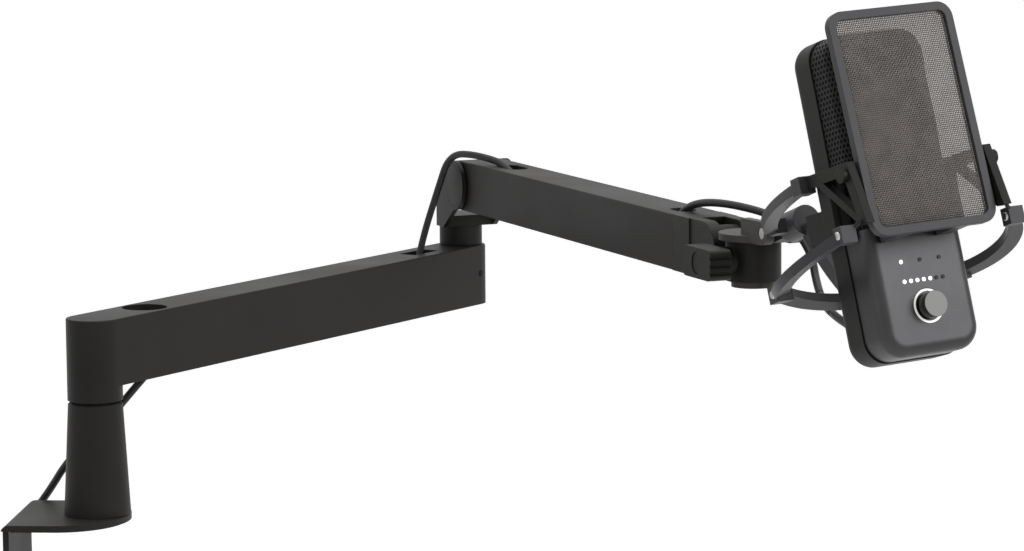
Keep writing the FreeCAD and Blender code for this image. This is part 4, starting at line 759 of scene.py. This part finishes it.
def weave_wire(mesh, crossings, place_of, over):
    """Square wire that passes this many crossings each way. Its middle is in front if over is 1."""
    rings = []
    for step in range(-crossings - 1, crossings + 2):
        depth = CLOTH_DEPTH + over * WIRE_HALF * (-1) ** step
        corners = ((WIRE_HALF, 0), (0, WIRE_HALF), (-WIRE_HALF, 0), (0, -WIRE_HALF))
        rings.append([mesh.verts.new(on(POP, depth + front_step, *place_of(step * WIRE_PITCH, aside)))
                      for aside, front_step in corners])
    for low, high in zip(rings, rings[1:]):
        for corner in range(4):
            mesh.faces.new((low[corner], low[corner - 1], high[corner - 1], high[corner]))
    mesh.faces.new(rings[0])
    mesh.faces.new(reversed(rings[-1]))


COLUMNS, ROWS = 31, 51
cloth = bmesh.new()
for column in range(-COLUMNS, COLUMNS + 1):
    weave_wire(cloth, ROWS, lambda along, aside: (column * WIRE_PITCH + aside, along), (-1) ** column)
for row in range(-ROWS, ROWS + 1):
    weave_wire(cloth, COLUMNS, lambda along, aside: (along, row * WIRE_PITCH + aside), -(-1) ** row)
bmesh.ops.recalc_face_normals(cloth, faces=cloth.faces)
wire_cloth = mesh_piece("wire_cloth", cloth, "mesh_metal")
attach(wire_cloth, "pop_screen")
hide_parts("pop_mesh")
print(2 * COLUMNS + 1, "by", 2 * ROWS + 1, "wires")

# %% [markdown]
# ## Floor and white surroundings
# A product picture has a pale floor and white around it. The floor is far below the clamp, where it
# takes a faint shadow. Rays from the camera, and rays that a glossy surface sends back, see white. The
# light that falls on the object is less, so that colours stay as they are.

# %% Floor and world
FLOOR_LEVEL, FLOOR_HALF, FLOOR_GLOW = -0.6, 12, 0.62


def seen_directly(tree):
    """Socket that is 1 for rays from the camera and for reflected and passed rays."""
    path = add(tree, "LightPath")
    mirror = add(tree, "Math", {0: path.outputs["Is Camera Ray"], 1: path.outputs["Is Glossy Ray"]},
                 operation="MAXIMUM")
    return add(tree, "Math", {0: mirror.outputs[0], 1: path.outputs["Is Transmission Ray"]},
               operation="MAXIMUM").outputs[0]


world = bpy.data.worlds.new("studio")
bpy.context.scene.world = world
world.use_nodes = True
tree = world.node_tree
seen = add(tree, "Background", {"Color": (1, 1, 1, 1), "Strength": 1})
fill = add(tree, "Background", {"Color": colour("#f6f7fa"), "Strength": 0.4})
mixed = add(tree, "MixShader", {0: seen_directly(tree), 1: fill.outputs[0], 2: seen.outputs[0]})
tree.links.new(mixed.outputs[0], tree.nodes["World Output"].inputs["Surface"])

floor_paint, tree, shader = new_finish("matt_white_floor", Base_Color=colour("#f4f4f2"), Roughness=0.9,
                                       Emission_Color=(1, 1, 1, 1))
glow = add(tree, "Math", {0: seen_directly(tree), 1: FLOOR_GLOW}, operation="MULTIPLY")
connect(tree, shader, Emission_Strength=glow.outputs[0])
floor_mesh = bpy.data.meshes.new("studio_floor")
corners = [(x * FLOOR_HALF, y * FLOOR_HALF, FLOOR_LEVEL)
           for x, y in ((-1, -1), (1, -1), (1, 1), (-1, 1))]
floor_mesh.from_pydata(corners, [], [(0, 1, 2, 3)])
floor_mesh.materials.append(floor_paint)
floor = bpy.data.objects.new("studio_floor", floor_mesh)
bpy.context.scene.collection.objects.link(floor)
print("floor at", FLOOR_LEVEL, "m")

# %% [markdown]
# ## Soft lights
# A large soft box on the right shines into the front cover, a long one above draws the top edges,
# and a weak one on the left keeps the far sides readable.

# %% Lights
def soft_box(name, spot, target, width, height, power):
    data = bpy.data.lights.new(name, "AREA")
    data.shape = "RECTANGLE"
    data.size = width
    data.size_y = height
    data.energy = power
    lamp = bpy.data.objects.new(name, data)
    lamp.location = spot
    lamp.rotation_euler = (Vector(target) - Vector(spot)).to_track_quat("-Z", "Y").to_euler()
    bpy.context.scene.collection.objects.link(lamp)


middle = (0.25, 0.0, 0.12)
soft_box("right_box", (1.8, -0.75, 0.9), tuple(MIC.translation), 1.0, 1.0, 16)
soft_box("top_box", (0.2, 0.3, 1.7), middle, 1.4, 1.0, 14)
soft_box("left_box", (-1.5, -1.2, 0.7), middle, 0.8, 1.0, 2)
print("three soft boxes")

# %% [markdown]
# ## Camera
# The camera was found by fitting the edges of both arms. It is a long lens two metres away, a
# little to the right and looking slightly down. The fit gives the focal length in pixels.

# %% Camera
AZIMUTH, PITCH, ROLL = (math.radians(angle) for angle in (4.544, 7.541, 0.476))
CAMERA_SPOT, FOCAL_PIXELS, IMAGE_PIXELS, SENSOR_MM = (387.1, -2022.8, 403.2), 3838.8, 1024, 36
ahead = Vector((-math.sin(AZIMUTH) * math.cos(PITCH), math.cos(AZIMUTH) * math.cos(PITCH),
                -math.sin(PITCH)))
level_right = Vector((math.cos(AZIMUTH), math.sin(AZIMUTH), 0))
level_down = ahead.cross(level_right)
right = level_right * math.cos(ROLL) + level_down * math.sin(ROLL)
down = level_down * math.cos(ROLL) - level_right * math.sin(ROLL)
camera_data = bpy.data.cameras.new("portrait")
camera_data.sensor_width = SENSOR_MM
camera_data.lens = SENSOR_MM * FOCAL_PIXELS / IMAGE_PIXELS
camera = bpy.data.objects.new("portrait", camera_data)
camera.matrix_world = (Matrix.Translation(Vector(CAMERA_SPOT) * MM)
                       @ Matrix((right, -down, -ahead)).transposed().to_4x4())
bpy.context.scene.collection.objects.link(camera)
bpy.context.scene.camera = camera
bpy.context.scene.view_settings.view_transform = "Standard"
print("lens", round(camera_data.lens, 1), "mm")

# %% [markdown]
# ## Size and hand-over
# ## Last update
# The view layer is brought up to date at the end.

# %% Finish
bpy.context.view_layer.update()
